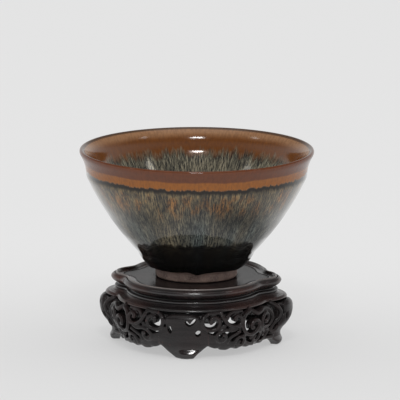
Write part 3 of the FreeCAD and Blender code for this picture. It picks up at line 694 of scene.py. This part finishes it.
def plan_outline(count):
    """Points and outward directions of the lobed plan, from the front round to the right."""
    front_offset, side_offset = FRONT_REACH - FRONT_LOBE, SIDE_REACH - SIDE_LOBE
    to_front, to_side = FRONT_LOBE + NOTCH, SIDE_LOBE + NOTCH
    span = math.hypot(front_offset, side_offset)
    along = (to_front ** 2 - to_side ** 2 + span ** 2) / (2 * span)
    off = math.sqrt(to_front ** 2 - along ** 2)
    across_unit, up_unit = side_offset / span, front_offset / span
    notch = (across_unit * along + up_unit * off, -front_offset + up_unit * along
             - across_unit * off)
    front_angle = math.atan2(notch[1] + front_offset, notch[0])
    side_angle = math.atan2(notch[1], notch[0] - side_offset)
    arcs = [((0, -front_offset), FRONT_LOBE, -math.pi / 2, front_angle, 1),
            (notch, NOTCH, math.pi + front_angle, math.pi + side_angle, -1),
            ((side_offset, 0), SIDE_LOBE, side_angle, 0.0, 1)]
    places, ways = [], []
    for centre, radius, first, last, sign in arcs:
        angles = np.linspace(first, last, 400)
        way = np.stack([np.cos(angles), np.sin(angles)], 1)
        places.append(np.array(centre) + way * radius)
        ways.append(way * sign)
    places, ways = np.concatenate(places), np.concatenate(ways)
    bearing = np.arctan2(places[:, 0], -places[:, 1])
    wanted = np.arange(count // 4) / (count // 4) * math.pi / 2
    quarter, mirrored = (
        np.stack([np.interp(at, bearing, values) for values in (*places.T, *ways.T)], 1)
        for at in (wanted, math.pi / 2 - wanted))
    rows = np.concatenate([quarter, mirrored * (1, -1, 1, -1), quarter * (-1, -1, -1, -1),
                           mirrored * (-1, 1, -1, 1)])
    ways = rows[:, 2:] / np.linalg.norm(rows[:, 2:], axis=1)[:, None]
    return rows[:, :2], ways


PLAN_COUNT = 640
PLAN_PLACES, PLAN_WAYS = plan_outline(PLAN_COUNT)
PLAN_BEARINGS = np.arctan2(PLAN_PLACES[:, 0], -PLAN_PLACES[:, 1]) % TAU
PLAN_REACH = np.hypot(PLAN_PLACES[:, 0], PLAN_PLACES[:, 1])


def hand_cut(places, size, amount, seed):
    """Small uneven offsets, smooth over a length, for points in millimetres."""
    rng = np.random.default_rng(seed)
    total = np.zeros(len(places))
    for _ in range(6):
        way = rng.normal(size=3)
        way /= np.linalg.norm(way)
        total += np.sin(places @ way / size * TAU * rng.uniform(0.6, 1.4) + rng.uniform(0, TAU))
    return total * amount / 6


def swept_board(name, profile, material, seed, closed):
    """Sweeps a section round the plan. An open section starts and ends on the axis."""
    count = len(profile)
    ways = np.repeat(PLAN_WAYS, count, 0)
    outs, heights = np.tile(profile, (PLAN_COUNT, 1)).T
    points = np.column_stack([np.repeat(PLAN_PLACES, count, 0) + ways * outs[:, None], heights])
    points[:, :2] += ways * hand_cut(points, 16.0, 0.10, seed)[:, None]
    faces = ring_faces(PLAN_COUNT, count, closed)
    if not closed:
        first = len(points)
        points = np.vstack([points, [0, 0, heights[0]], [0, 0, heights[-1]]])
        for row in range(PLAN_COUNT):
            start, after = row * count, (row + 1) % PLAN_COUNT * count
            faces.append((start, after, first))
            faces.append((after + count - 1, start + count - 1, first + 1))
    return new_piece(name, points, faces, material)


def frame_section():
    """The tray's frame: moulded outside, a bead and a quirk on top, a step to the floor."""
    rise = RIM_HIGH[2] - TRAY_HEIGHT
    shares = [(-1.0, 0.0, 0.5, -1), (-0.36, 0.26, 0.52, 1), (0.0, 0.58, 0.42, 1),
              (-0.44, 0.86), (-0.52, 0.74), (-0.62, 0.94, 0.1, 1), (-0.82, 0.965),
              (-0.92, 0.86), (-1.0, (FLOOR_HEIGHT - TRAY_HEIGHT) / rise)]
    corners = []
    for out, up, *bend in shares:
        corner = (NECK_INSET * out, TRAY_HEIGHT + rise * up)
        corners.append(corner + ((rise * bend[0], bend[1]) if bend else ()))
    corners += [(-FRAME_WIDTH, FLOOR_HEIGHT), (-FRAME_WIDTH, TRAY_HEIGHT)]
    return softened(outline_points(corners, 0.17, closed=True), 1, closed=True)


def floor_section():
    """The floor board, a hair clear of the frame and a hair lower than its step."""
    clear = 0.05
    inner, edge, top = -FRAME_WIDTH - 2, -FRAME_WIDTH - clear, FLOOR_HEIGHT - clear
    return outline_points([(inner, TRAY_HEIGHT), (edge, TRAY_HEIGHT), (edge, top), (inner, top)],
                          1.2)


def waist_section():
    """The neck board with a round bead along its foot."""
    inner, bead, bead_rise = -NECK_INSET - 6, -2.3, 1.5
    corners = [(inner, WAIST_HEIGHT), (bead, WAIST_HEIGHT, 0.85, 1),
               (bead, WAIST_HEIGHT + bead_rise), (-NECK_INSET, WAIST_HEIGHT + bead_rise + 0.12),
               (-NECK_INSET, TRAY_HEIGHT), (inner, TRAY_HEIGHT)]
    return softened(outline_points(corners, 0.14), 2)


def shoulder_section():
    """The shoulder's ogee, from its foot up to the waist."""
    inner, over, rise = -10.0, SHOULDER_OVERHANG, WAIST_HEIGHT - SHOULDER_HEIGHT
    corners = [(inner, SHOULDER_HEIGHT), (over * 0.3, SHOULDER_HEIGHT),
               (over * 0.8, SHOULDER_HEIGHT + rise * 0.16),
               (over, SHOULDER_HEIGHT + rise * 0.24),
               (over, SHOULDER_HEIGHT + rise * 0.32, rise * 0.5, 1),
               (over * 0.22, SHOULDER_HEIGHT + rise * 0.6),
               (over * 0.1, SHOULDER_HEIGHT + rise * 0.66, rise * 0.8, -1),
               (over * -0.82, WAIST_HEIGHT), (inner, WAIST_HEIGHT)]
    return softened(outline_points(corners, 0.18), 2)


class OBJECT_OT_mould_boards(bpy.types.Operator):
    """Run the mouldings of the tray, the waist and the shoulder round the lobed plan"""
    bl_idname = "object.mould_boards"
    bl_label = "Mould Boards"
    bl_options = {"REGISTER"}

    def execute(self, context):
        given = context.scene.tea_stand, shared_groups()
        polished = wood_material("polished_hardwood", *given, 0.17, 0.8, held=0.4)
        # The tray's frame has a painted highlight along its crest.
        rubbed = wood_material("rubbed_hardwood", *given, 0.17, 0.8,
                               crest=(RIM_HIGH[2] - 0.75) * MM, held=1.0)
        floor = wood_material("tray_floor_wood", *given, 0.14, 0.05, wear=0.3)
        gloss = wood_material("waist_hardwood", *given, 0.08, 1.0)
        seat(swept_board("tray_frame", frame_section(), rubbed, 3, True), "tray_rim")
        seat(swept_board("tray_floor", floor_section(), floor, 4, False), "tray_panel")
        seat(swept_board("waist_board", waist_section(), gloss, 5, False), "waist")
        seat(swept_board("shoulder_board", shoulder_section(), polished, 6, False), "shoulder")
        return {"FINISHED"}


# The skirt. Its face stands out of the plan by this much at each height from the ground.
FACE_HEIGHTS = (0.0, 1.0, 2.7, 4.8, 6.9, 9.0, 11.2, 13.3, 15.4, 17.5, 19.7, 21.8, 23.0, 24.6)
FACE_OUTS = (-0.9, -0.4, 0.0, -0.3, 0.0, 1.0, 2.4, 3.5, 4.4, 4.9, 5.2, 4.9, 4.1, 2.7)
# A run is counted along the face from a leg's middle, in millimetres to a radian
RUN_PER_RADIAN = 48.0
# Half of a leg's width, how far its lappet stands proud and how thick it is
LEG_HALF, LAPPET_LIFT, LAPPET_DEPTH = 13.0, 0.9, 5.2


def skirt_points(run, height, lift, mirror=(1, 1)):
    """Points on the skirt at a run from the front or back leg, lifted out of its face."""
    run, height = np.asarray(run, float), np.asarray(height, float)
    bearing = run / RUN_PER_RADIAN
    reach = np.interp(bearing % TAU, PLAN_BEARINGS, PLAN_REACH, period=TAU)
    steep = np.interp(height, FACE_HEIGHTS, np.gradient(FACE_OUTS, FACE_HEIGHTS))
    out = np.interp(height, FACE_HEIGHTS, FACE_OUTS)
    tilt = 1 / np.sqrt(1 + steep ** 2)
    radius = reach + out + lift * tilt
    return np.stack([mirror[0] * radius * np.sin(bearing), -mirror[1] * radius * np.cos(bearing),
                     height - lift * steep * tilt], -1)


# Scrolls between the front leg's middle (run 0) and the right leg's (run 75.4).
# Each tendril is its points (run, height, size) and its lift.
TENDRILS = [
    ([(20.5, 24.6, .8), (16.8, 24.2, 1.0), (13.2, 23.9, 1.0), (10.6, 22.2, 1.05), (9.9, 19.3, 1.1),
      (11.3, 16.8, 1.1), (14.2, 15.9, 1.15), (17.2, 16.9, 1.1), (18.6, 19.4, 1.0),
      (17.6, 21.7, .95), (15.3, 22.1, .85), (14.0, 20.7, .8), (14.7, 19.4, .95)], 0.35),
    ([(19.2, 25.0, .9), (20.7, 21.7, 1.0), (23.2, 18.7, 1.05), (26.9, 17.1, 1.05),
      (30.2, 17.9, 1.0), (31.0, 20.3, .95), (29.4, 22.2, .9), (27.2, 21.3, .8),
      (27.6, 19.9, .9)], 0.45),
    ([(37.4, 23.4, .3), (35.2, 22.9, .9), (33.0, 21.8, 1.35), (31.8, 19.5, 1.35),
      (32.2, 16.3, 1.15), (34.6, 13.0, 1.15), (38.3, 11.5, 1.25), (42.0, 12.5, 1.25),
      (44.0, 15.3, 1.2), (43.0, 18.0, 1.1), (40.2, 18.8, 1.0), (38.0, 17.1, .95),
      (38.5, 15.1, 1.0), (40.2, 15.2, 1.15)], 0.6),
    ([(36.6, 25.2, .8), (38.7, 23.6, .95), (41.8, 21.9, 1.05), (45.2, 22.1, 1.05),
      (48.7, 23.1, 1.1), (53.2, 22.2, 1.15), (56.9, 19.6, 1.15), (58.2, 16.5, 1.1),
      (56.4, 13.9, 1.0), (53.4, 13.5, .8)], 0.6),
    ([(52.9, 13.6, .6), (49.0, 14.0, .95), (46.6, 16.6, 1.0), (47.3, 19.7, 1.0),
      (50.2, 20.9, .95), (52.7, 19.4, .9), (52.3, 16.9, .85), (50.2, 16.5, .85),
      (49.6, 18.1, 1.15)], 0.5),
    ([(39.6, 8.6, .7), (41.8, 11.4, .95), (45.0, 12.5, 1.05), (48.2, 11.2, 1.05),
      (48.9, 8.6, 1.0), (46.8, 6.6, .95), (44.0, 6.9, .85), (43.0, 8.9, .8),
      (44.6, 10.0, 1.05)], 0.45),
    ([(28.2, 5.2, .9), (28.8, 8.0, 1.05), (30.4, 10.6, 1.1), (33.2, 11.0, 1.1),
      (35.2, 9.0, 1.05), (34.6, 6.4, 1.0), (32.0, 5.9, .9), (31.2, 7.7, .95),
      (32.6, 8.8, 1.2)], 0.5),
    ([(28.4, 16.2, .35), (25.4, 15.3, .8), (22.2, 15.8, 1.0), (19.2, 15.0, 1.05),
      (17.5, 12.9, 1.05), (18.0, 10.5, 1.05), (20.3, 9.5, 1.0), (22.4, 10.8, .95),
      (22.2, 12.9, .9), (20.4, 13.1, 1.1)], 0.4),
    ([(58.6, 24.9, .8), (61.6, 22.9, 1.0), (63.6, 19.8, 1.15), (63.2, 16.6, 1.1),
      (61.2, 14.0, 1.05), (60.6, 11.4, 1.0), (62.2, 9.3, .95), (64.4, 9.9, .9),
      (64.2, 12.2, 1.05)], 0.35),
    ([(49.6, 5.4, .8), (53.0, 4.9, .95), (56.8, 6.0, 1.05), (58.8, 8.6, 1.05),
      (57.6, 11.3, 1.0), (54.8, 11.6, .9), (53.4, 9.6, .85), (54.8, 8.2, 1.1)], 0.4),
    ([(35.0, 9.8, .5), (37.2, 7.0, 1.1), (40.6, 5.6, 1.2), (44.0, 5.0, .9)], 0.2),
    ([(24.2, 8.4, .4), (25.6, 11.2, .95), (28.4, 12.9, 1.05), (30.8, 14.4, .6)], 0.2),
    ([(44.2, 15.8, .4), (46.4, 13.6, .9), (49.8, 12.2, .95), (52.6, 11.2, .5)], 0.1),
    ([(22.6, 21.6, .4), (24.6, 23.6, .8), (28.6, 24.4, .9), (33.0, 24.3, .8)], -0.3),
    ([(18.4, 16.2, .8), (20.4, 17.2, 1.3), (22.8, 18.6, .9)], -0.6),
    ([(25.6, 14.8, .8), (28.0, 16.0, 1.1), (30.8, 16.6, .9)], -0.6),
]
# Rails that tie the tendrils together: the top under the shoulder and the lower edge.
RAILS = [
    ([(-1.0, 23.7, 1.1), (20.0, 23.7, 1.1), (40.0, 23.7, 1.1), (60.0, 23.7, 1.1),
      (76.4, 23.7, 1.1)], -1.7),
    ([(20.0, 5.3, .9), (24.0, 4.9, 1.0), (27.0, 5.6, .9), (31.0, 4.9, 1.0), (34.8, 5.5, .85),
      (39.0, 4.9, .95), (43.5, 5.5, .85), (48.0, 5.0, .95), (52.5, 5.4, .85), (57.0, 5.0, .95),
      (62.0, 5.6, .9), (66.0, 5.4, .9)], -0.5),
]


def smooth_path(points, steps=9):
    """A smooth line through the points, by Catmull and Rom's rule, three values each."""
    points = np.array(points, float)
    padded = np.vstack([2 * points[0] - points[1], points, 2 * points[-1] - points[-2]])
    rows = []
    for index in range(len(points) - 1):
        a, b, c, d = padded[index:index + 4]
        for t in np.arange(steps) / steps:
            rows.append(0.5 * (2 * b + (c - a) * t + (2 * a - 5 * b + 4 * c - d) * t ** 2
                               + (3 * b - a - 3 * c + d) * t ** 3))
    rows.append(points[-1])
    return np.array(rows)


def strand_tree(material):
    """Geometry nodes that turn lines into strands, stacked inwards to the wall's depth."""
    tree = bpy.data.node_groups.new("Carved Strands", "GeometryNodeTree")
    face = tree.interface
    face.new_socket("Lines", in_out="INPUT", socket_type="NodeSocketGeometry")
    for label in ("Strand Radius", "Wall Depth"):
        face.new_socket(label, in_out="INPUT", socket_type="NodeSocketFloat")
    face.new_socket("Layers", in_out="INPUT", socket_type="NodeSocketInt")
    face.new_socket("Strands", in_out="OUTPUT", socket_type="NodeSocketGeometry")
    nodes = Nodes(tree)
    given = nodes.add("NodeGroupInput").outputs
    result = nodes.add("NodeGroupOutput").inputs
    copies = nodes.add("GeometryNodeDuplicateElements", {
        "Geometry": given["Lines"], "Amount": given["Layers"]}, domain="SPLINE")
    share = nodes.math("DIVIDE", copies.outputs["Duplicate Index"],
                       nodes.minus(given["Layers"], 1.0))
    place = nodes.add("GeometryNodeInputPosition").outputs[0]
    outward = nodes.vector("NORMALIZE", nodes.vector("MULTIPLY", place, (1, 1, 0)))
    step = nodes.times(nodes.times(share, given["Wall Depth"]), -1.0)
    sunk = nodes.add("GeometryNodeSetPosition", {
        "Geometry": copies.outputs["Geometry"], "Offset": nodes.vector("SCALE", outward, step)})
    section = nodes.add("GeometryNodeCurvePrimitiveCircle", {
        "Resolution": 12, "Radius": given["Strand Radius"]})
    tubes = nodes.add("GeometryNodeCurveToMesh", {
        "Curve": sunk.outputs[0], "Profile Curve": section.outputs[0], "Fill Caps": True})
    real = nodes.add("GeometryNodeRealizeInstances", {0: tubes.outputs[0]})
    painted = nodes.add("GeometryNodeSetMaterial", {
        "Geometry": real.outputs[0], "Material": material})
    nodes.feed(result[0], painted.outputs[0])
    return tree


def set_inputs(modifier, tree, **values):
    names = {item.name.replace(" ", "_"): item.identifier for item in tree.interface.items_tree
             if item.in_out == "INPUT"}
    for key, value in values.items():
        modifier[names[key]] = value


def strands_piece(stand, material):
    """All tendrils and rails of the four quarters, as tubes."""
    lines = bpy.data.curves.new("tendril_lines", "CURVE")
    lines.dimensions = "3D"
    for mirror in ((1, 1), (1, -1), (-1, -1), (-1, 1)):
        for points, lift in TENDRILS + RAILS:
            path = smooth_path(points)
            places = skirt_points(path[:, 0], path[:, 1], lift - 0.1, mirror) * MM
            spline = lines.splines.new("POLY")
            spline.points.add(len(places) - 1)
            for point, place, size in zip(spline.points, places, path[:, 2]):
                point.co = (*place, 1.0)
                point.radius = max(size, 0.2)
    holder = link_piece("tendril_lines", lines)
    tree = strand_tree(material)
    grow = holder.modifiers.new("Strands", "NODES")
    grow.node_group = tree
    set_inputs(grow, tree, Strand_Radius=stand.strand_radius, Wall_Depth=stand.wall_depth,
               Layers=3)
    return plain_copy(holder, "strands")


# Broad plates: the lappet on each leg, which spreads into the lower edge beside it.
# Half outlines (run, height) from the middle of the leg; the foot comes last.
FRONT_LAPPET = [(0.0, 24.4), (4.5, 24.1), (8.6, 22.9), (9.3, 19.0), (9.9, 16.4), (12.3, 14.6),
                (16.4, 13.2), (20.6, 11.4), (25.5, 10.4), (28.4, 8.2), (28.6, 5.2), (24.5, 4.3),
                (21.0, 5.3), (17.5, 4.9), (15.2, 5.5), (13.2, 6.6), (11.2, 5.0), (9.1, 3.5),
                (6.9, 2.1), (5.2, 0.8), (4.3, 0.0), (0.0, 0.0)]
SIDE_LAPPET = [(0.0, 24.4), (4.5, 24.1), (8.4, 22.9), (9.2, 19.0), (9.4, 15.0), (10.4, 11.5),
               (11.8, 9.0), (12.8, 6.5), (11.2, 5.0), (9.1, 3.5), (6.9, 2.1), (5.2, 0.8),
               (4.3, 0.0), (0.0, 0.0)]
# Piercings of a lappet as (run, height, half width, half height, lean).
LAPPET_HOLES = [(2.6, 19.6, 0.75, 1.2, -0.9), (5.2, 20.3, 0.7, 1.4, 0.7),
                (7.7, 14.6, 1.35, 1.45, 0.2), (-6.5, 16.6, 0.85, 2.0, -0.2),
                (-9.0, 18.4, 0.6, 0.8, 0.0)]


def inside_outline(outline, x, y):
    """Even-odd test of many points against a closed outline."""
    inside = np.zeros(x.shape, bool)
    ax, ay = outline[-1]
    for bx, by in outline:
        crosses = (ay > y) != (by > y)
        with np.errstate(divide="ignore", invalid="ignore"):
            at = (bx - ax) * (y - ay) / (by - ay) + ax
        inside ^= crosses & (x < at)
        ax, ay = bx, by
    return inside


def edge_distance(outline, x, y):
    """Distance of many points to a closed outline."""
    best = np.full(x.shape, 1e9)
    ax, ay = outline[-1]
    for bx, by in outline:
        dx, dy = bx - ax, by - ay
        along = np.clip(((x - ax) * dx + (y - ay) * dy) / max(dx * dx + dy * dy, 1e-9), 0, 1)
        best = np.minimum(best, np.hypot(x - ax - along * dx, y - ay - along * dy))
        ax, ay = bx, by
    return best


def lappet_crown(run, height, inset, side_leg):
    """How far a lappet's face stands out: round at its edge, and shaped at the toe.

    The toes of the front and back legs swell, and the side legs are drawn in.
    """
    crown = LAPPET_LIFT - 0.9 * np.exp(-inset / 0.8)
    if side_leg:
        toe, drawn_in = 1.3, 1.5
        return crown + (toe * np.exp(-((height - 1.5) / 3.0) ** 2)
                        - drawn_in * np.exp(-(height / 11.0) ** 4))
    toe_top, toe_fall = 5.2, 3.6
    under = np.clip(toe_top - height, 0, toe_fall)
    return crown + under * (0.60 - 0.0175 * under) * np.exp(-((run - 4.0) / 6.5) ** 6)


def shell_faces(keep):
    """Faces of a plate on the grid points that it keeps, and which points they use.

    The points of the back follow those of the face, in the same order.
    """
    rows, columns = keep.shape
    cells = keep[:-1, :-1] & keep[1:, :-1] & keep[:-1, 1:] & keep[1:, 1:]
    used = np.zeros(keep.shape, bool)
    for down, across in ((0, 0), (1, 0), (0, 1), (1, 1)):
        used[down:rows - 1 + down, across:columns - 1 + across] |= cells
    back_at = int(used.sum())
    index = np.zeros(keep.shape, int)
    index[used] = np.arange(back_at)
    faces, edges = [], {}
    for row, column in zip(*np.nonzero(cells)):
        loop = [int(index[row + down, column + across])
                for down, across in ((0, 0), (1, 0), (1, 1), (0, 1))]
        faces += [loop, [corner + back_at for corner in reversed(loop)]]
        edges.update(dict.fromkeys(zip(loop, loop[1:] + loop[:1])))
    faces += [(b, a, a + back_at, b + back_at) for a, b in edges if (b, a) not in edges]
    return faces, used


def lappet(name, half_outline, quarter, material):
    """A crowned plate on the skirt, cut to an outline and pierced, about one leg."""
    cell, sole = 0.3, 0.4
    right = np.array(half_outline)
    outline = softened(outline_points([tuple(p) for p in np.vstack(
        [right, right[-2:0:-1] * (-1, 1)])], 0.4, closed=True), 3, closed=True)
    low, high = outline.min(0) - cell, outline.max(0) + cell
    run, height = np.meshgrid(np.arange(low[0], high[0], cell),
                              np.arange(low[1], high[1], cell), indexing="ij")
    keep = inside_outline(outline, run, height)
    for at, up, wide, tall, lean in LAPPET_HOLES:
        across, along = run - at - lean * (height - up), height - up
        keep &= (across / wide) ** 2 + (along / tall) ** 2 > 1
    crown = lappet_crown(run, height, edge_distance(outline, run, height), quarter % 2)
    start = quarter * RUN_PER_RADIAN * math.pi / 2
    face = skirt_points(start + run, height, crown)
    # No part of a swollen toe reaches below the sole.
    face[..., 2] = np.where(height < sole, height, np.maximum(face[..., 2], sole))
    back = skirt_points(start + run, np.maximum(height, 0.0), LAPPET_LIFT - LAPPET_DEPTH)
    back[..., 2] = height
    faces, used = shell_faces(keep)
    return new_piece(name, np.concatenate([face[used], back[used]]), faces, material)


def joined(pieces, name):
    mesh = bmesh.new()
    for piece in pieces:
        mesh.from_mesh(piece.data)
        bpy.data.objects.remove(piece)
    return mesh_piece(name, mesh)


def cut_to_planes(source, name, planes, material):
    """A closed copy of the source, kept on the near side of each upright plane."""
    mesh = bmesh.new()
    mesh.from_mesh(source.data)
    for x, y, distance in planes:
        geometry = mesh.verts[:] + mesh.edges[:] + mesh.faces[:]
        bmesh.ops.bisect_plane(
            mesh, geom=geometry, plane_co=(x * distance * MM, y * distance * MM, 0),
            plane_no=(x, y, 0), clear_outer=True)
        rim = [edge for edge in mesh.edges if edge.is_boundary]
        filled = bmesh.ops.triangle_fill(mesh, edges=rim, use_beauty=True,
                                         normal=(x, y, 0))["geom"]
        for face in filled:
            if isinstance(face, bmesh.types.BMFace):
                face.smooth = False
    made = mesh_piece(name, mesh)
    made.data.materials.clear()
    made.data.materials.append(material)
    return made


def carved_skirt(stand, material):
    """The whole carved skirt fused into one smooth wooden form."""
    pieces = [strands_piece(stand, material)]
    for quarter, side in enumerate(SIDES):
        outline = SIDE_LAPPET if quarter % 2 else FRONT_LAPPET
        pieces.append(lappet(f"lappet_{side}", outline, quarter, material))
    skirt = joined(pieces, "skirt")
    fuse = skirt.modifiers.new("Fuse", "REMESH")
    fuse.mode = "VOXEL"
    fuse.voxel_size = stand.carving_grain
    fuse.use_smooth_shade = True
    smooth = skirt.modifiers.new("Rub", "SMOOTH")
    smooth.factor, smooth.iterations = 0.5, 4
    return plain_copy(skirt, "carved_skirt")


class OBJECT_OT_carve_skirt(bpy.types.Operator):
    """Carve the legs and the openwork aprons as one skirt and part them at their joints"""
    bl_idname = "object.carve_skirt"
    bl_label = "Carve Skirt"
    bl_options = {"REGISTER"}

    def execute(self, context):
        settings = context.scene.tea_stand
        material = wood_material("carved_hardwood", settings, shared_groups(), 0.22, 0.42,
                                 patches=0.3)
        skirt = carved_skirt(settings, material)
        ways = ((0, -1), (1, 0), (0, 1), (-1, 0))
        for quarter, side in enumerate(SIDES):
            x, y = ways[quarter]
            planes = [(y, -x, LEG_HALF), (-y, x, LEG_HALF), (-x, -y, 0.0)]
            seat(cut_to_planes(skirt, f"carved_leg_{side}", planes, material), f"leg_{side}")
        for quarter, corner in enumerate(CORNERS):
            (x1, y1), (x2, y2) = ways[quarter], ways[(quarter + 1) % 4]
            planes = [(-x1, -y1, -LEG_HALF), (-x2, -y2, -LEG_HALF)]
            seat(cut_to_planes(skirt, f"carved_apron_{corner}", planes, material),
                 f"apron_{corner}")
        bpy.data.objects.remove(skirt)
        return {"FINISHED"}


class OBJECT_OT_fit_pegs(bpy.types.Operator):
    """Give the pegs and dowels their pale end grain"""
    bl_idname = "object.fit_pegs"
    bl_label = "Fit Pegs"
    bl_options = {"REGISTER"}

    def execute(self, context):
        material = peg_material()
        for name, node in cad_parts.items():
            if name.startswith(("tray_peg", "leg_dowel")):
                node.data.materials.clear()
                node.data.materials.append(material)
        return {"FINISHED"}


# The stage

# Half of the picture's width in pixels, and the pixels across and down where the stand's
# axis meets the ground in it
PICTURE_HALF, AXIS_ACROSS, GROUND_DOWN = 200, 196.6, 340.3
# Soft boxes: bearing and height in degrees, size in metres, share of the lamp power
LAMPS = (("front_box", 8.0, 44.5, (0.20, 0.08), 1.0),
         ("left_box", -74.0, 46.0, (0.12, 0.12), 0.07),
         ("right_box", 82.0, 46.0, (0.12, 0.12), 0.07))
LAMP_DISTANCE, LAMP_TARGET = 1.1, Vector((0, 0, 0.07))


def floor_material():
    """Pale paper with a painted glow, so that shadows on it stay as faint as in the photo."""
    material, nodes = new_material("pale_floor")
    shader = finish_surface(nodes, Base_Color=FLOOR_WHITE, Roughness=0.95,
                            Specular_IOR_Level=0.0)
    place = nodes.place()
    across, depth, _ = nodes.split(place)
    path = nodes.add("ShaderNodeLightPath").outputs
    mirrored = path["Is Glossy Ray"]
    # Painted shadow: to mirrored rays the floor is darker round the stand.
    # The mirrored floor is dimmer round the stand, and more so on the right, as in the photo.
    dimmed = nodes.times(nodes.between(nodes.vector("LENGTH", place), 0.075, 0.115, -0.38, 0.0),
                         nodes.plus(nodes.between(across, 0.02, 0.07, 0.15, 1.6),
                                    nodes.between(across, -0.02, -0.07, 0.0, 0.85)))
    # Painted light: the glow is a little brighter further back.
    strength = nodes.times(nodes.between(depth, -0.1, 0.25, 0.70, 0.80),
                           nodes.plus(nodes.times(mirrored, dimmed), 1.0))
    glow = nodes.add("ShaderNodeEmission", {"Color": LIGHT_WHITE, "Strength": strength})
    share = nodes.scaled(path["Is Camera Ray"], 0.62, nodes.times(mirrored, 0.95))
    blend = nodes.add("ShaderNodeMixShader", {0: share, 1: shader.outputs[0], 2: glow.outputs[0]})
    nodes.feed(nodes.tree.nodes["Material Output"].inputs["Surface"], blend.outputs[0])
    return material


def set_world(scene):
    """A white room. Mirrored light comes from low down and from overhead, as in the photo."""
    world = bpy.data.worlds.new("room")
    scene.world = world
    world.use_nodes = True
    nodes = Nodes(world.node_tree)
    rise = nodes.split(nodes.add("ShaderNodeTexCoord").outputs["Generated"])[2]
    path = nodes.add("ShaderNodeLightPath").outputs
    mirrored = nodes.plus(nodes.between(rise, 0.2, 0.5, 0.72, 0.15),
                          nodes.between(rise, 0.82, 0.97, 0.0, 0.7))
    level = nodes.add("ShaderNodeMix", {0: path["Is Glossy Ray"], 2: 0.86, 3: mirrored}).outputs[0]
    room = nodes.add("ShaderNodeBackground", {"Color": LIGHT_WHITE, "Strength": level})
    nodes.feed(nodes.tree.nodes["World Output"].inputs["Surface"], room.outputs[0])


def direction(turn, lift):
    """The way to a bearing, counted from the front foot, and a height over the horizon."""
    return Vector((math.sin(turn) * math.cos(lift), -math.cos(turn) * math.cos(lift),
                   math.sin(lift)))


def place_camera(settings):
    """A long lens that puts the axis and the ground where the picture has them."""
    data = bpy.data.cameras.new("camera")
    camera = link_piece("camera", data)
    data.sensor_width = 36.0
    data.lens = data.sensor_width * settings.view_distance / settings.view_width
    data.clip_end = 100.0
    back = direction(settings.view_azimuth, settings.view_elevation)
    side = direction(settings.view_azimuth + math.pi / 2, 0.0)
    upward = side.cross(-back)
    per_pixel = settings.view_width / PICTURE_HALF / 2
    aim = (side * (PICTURE_HALF - AXIS_ACROSS) * per_pixel
           + upward * (GROUND_DOWN - PICTURE_HALF) * per_pixel)
    camera.location = aim + back * settings.view_distance
    camera.rotation_mode = "QUATERNION"
    level = (-back).to_track_quat("-Z", "Y")
    camera.rotation_quaternion = level @ Quaternion((0, 0, 1), settings.view_roll)
    return camera


def hang_box(name, bearing, height, size, power):
    """A soft box that faces the bowl."""
    data = bpy.data.lights.new(name, "AREA")
    data.shape = "RECTANGLE"
    data.size, data.size_y = size
    data.energy = power
    lamp = link_piece(name, data)
    way = direction(math.radians(bearing), math.radians(height))
    lamp.location = LAMP_TARGET + way * LAMP_DISTANCE
    lamp.rotation_mode = "QUATERNION"
    lamp.rotation_quaternion = (-way).to_track_quat("-Z", "Y")


class OBJECT_OT_set_stage(bpy.types.Operator):
    """Lay the pale floor, hang the soft boxes and place the camera"""
    bl_idname = "object.set_stage"
    bl_label = "Set Stage"
    bl_options = {"REGISTER"}

    def execute(self, context):
        settings = context.scene.tea_stage
        scene = context.scene
        half = settings.floor_size / 2 / MM
        floor = new_piece("floor", [(-half, -half, 0), (half, -half, 0), (half, half, 0),
                                    (-half, half, 0)], [(0, 1, 2, 3)], floor_material(), False)
        set_world(scene)
        scene.camera = place_camera(settings)
        for name, bearing, height, size, share in LAMPS:
            hang_box(name, bearing, height, size, share * settings.lamp_power)
        scene.view_settings.view_transform = "Standard"
        return {"FINISHED"}


class VIEW3D_PT_tea_bowl(bpy.types.Panel):
    bl_label = "Tea Bowl"
    bl_space_type = "VIEW_3D"
    bl_region_type = "UI"
    bl_category = "Tea Bowl"

    def draw(self, context):
        layout = self.layout
        for group in (context.scene.tea_bowl, context.scene.tea_stand, context.scene.tea_stage):
            for name in group.__annotations__:
                layout.prop(group, name)
        for operator in OPERATORS:
            layout.operator(operator.bl_idname)


OPERATORS = (OBJECT_OT_throw_bowl, OBJECT_OT_mould_boards, OBJECT_OT_carve_skirt,
             OBJECT_OT_fit_pegs, OBJECT_OT_set_stage)
CLASSES = (BowlSettings, StandSettings, StageSettings, *OPERATORS, VIEW3D_PT_tea_bowl)


def register():
    for item in CLASSES:
        bpy.utils.register_class(item)
    bpy.types.Scene.tea_bowl = PointerProperty(type=BowlSettings)
    bpy.types.Scene.tea_stand = PointerProperty(type=StandSettings)
    bpy.types.Scene.tea_stage = PointerProperty(type=StageSettings)


def unregister():
    for name in ("tea_bowl", "tea_stand", "tea_stage"):
        delattr(bpy.types.Scene, name)
    for item in reversed(CLASSES):
        bpy.utils.unregister_class(item)


def main():
    register()
    bpy.ops.object.throw_bowl()
    bpy.ops.object.mould_boards()
    bpy.ops.object.carve_skirt()
    bpy.ops.object.fit_pegs()
    bpy.ops.object.set_stage()


if __name__ == "__main__":
    main()
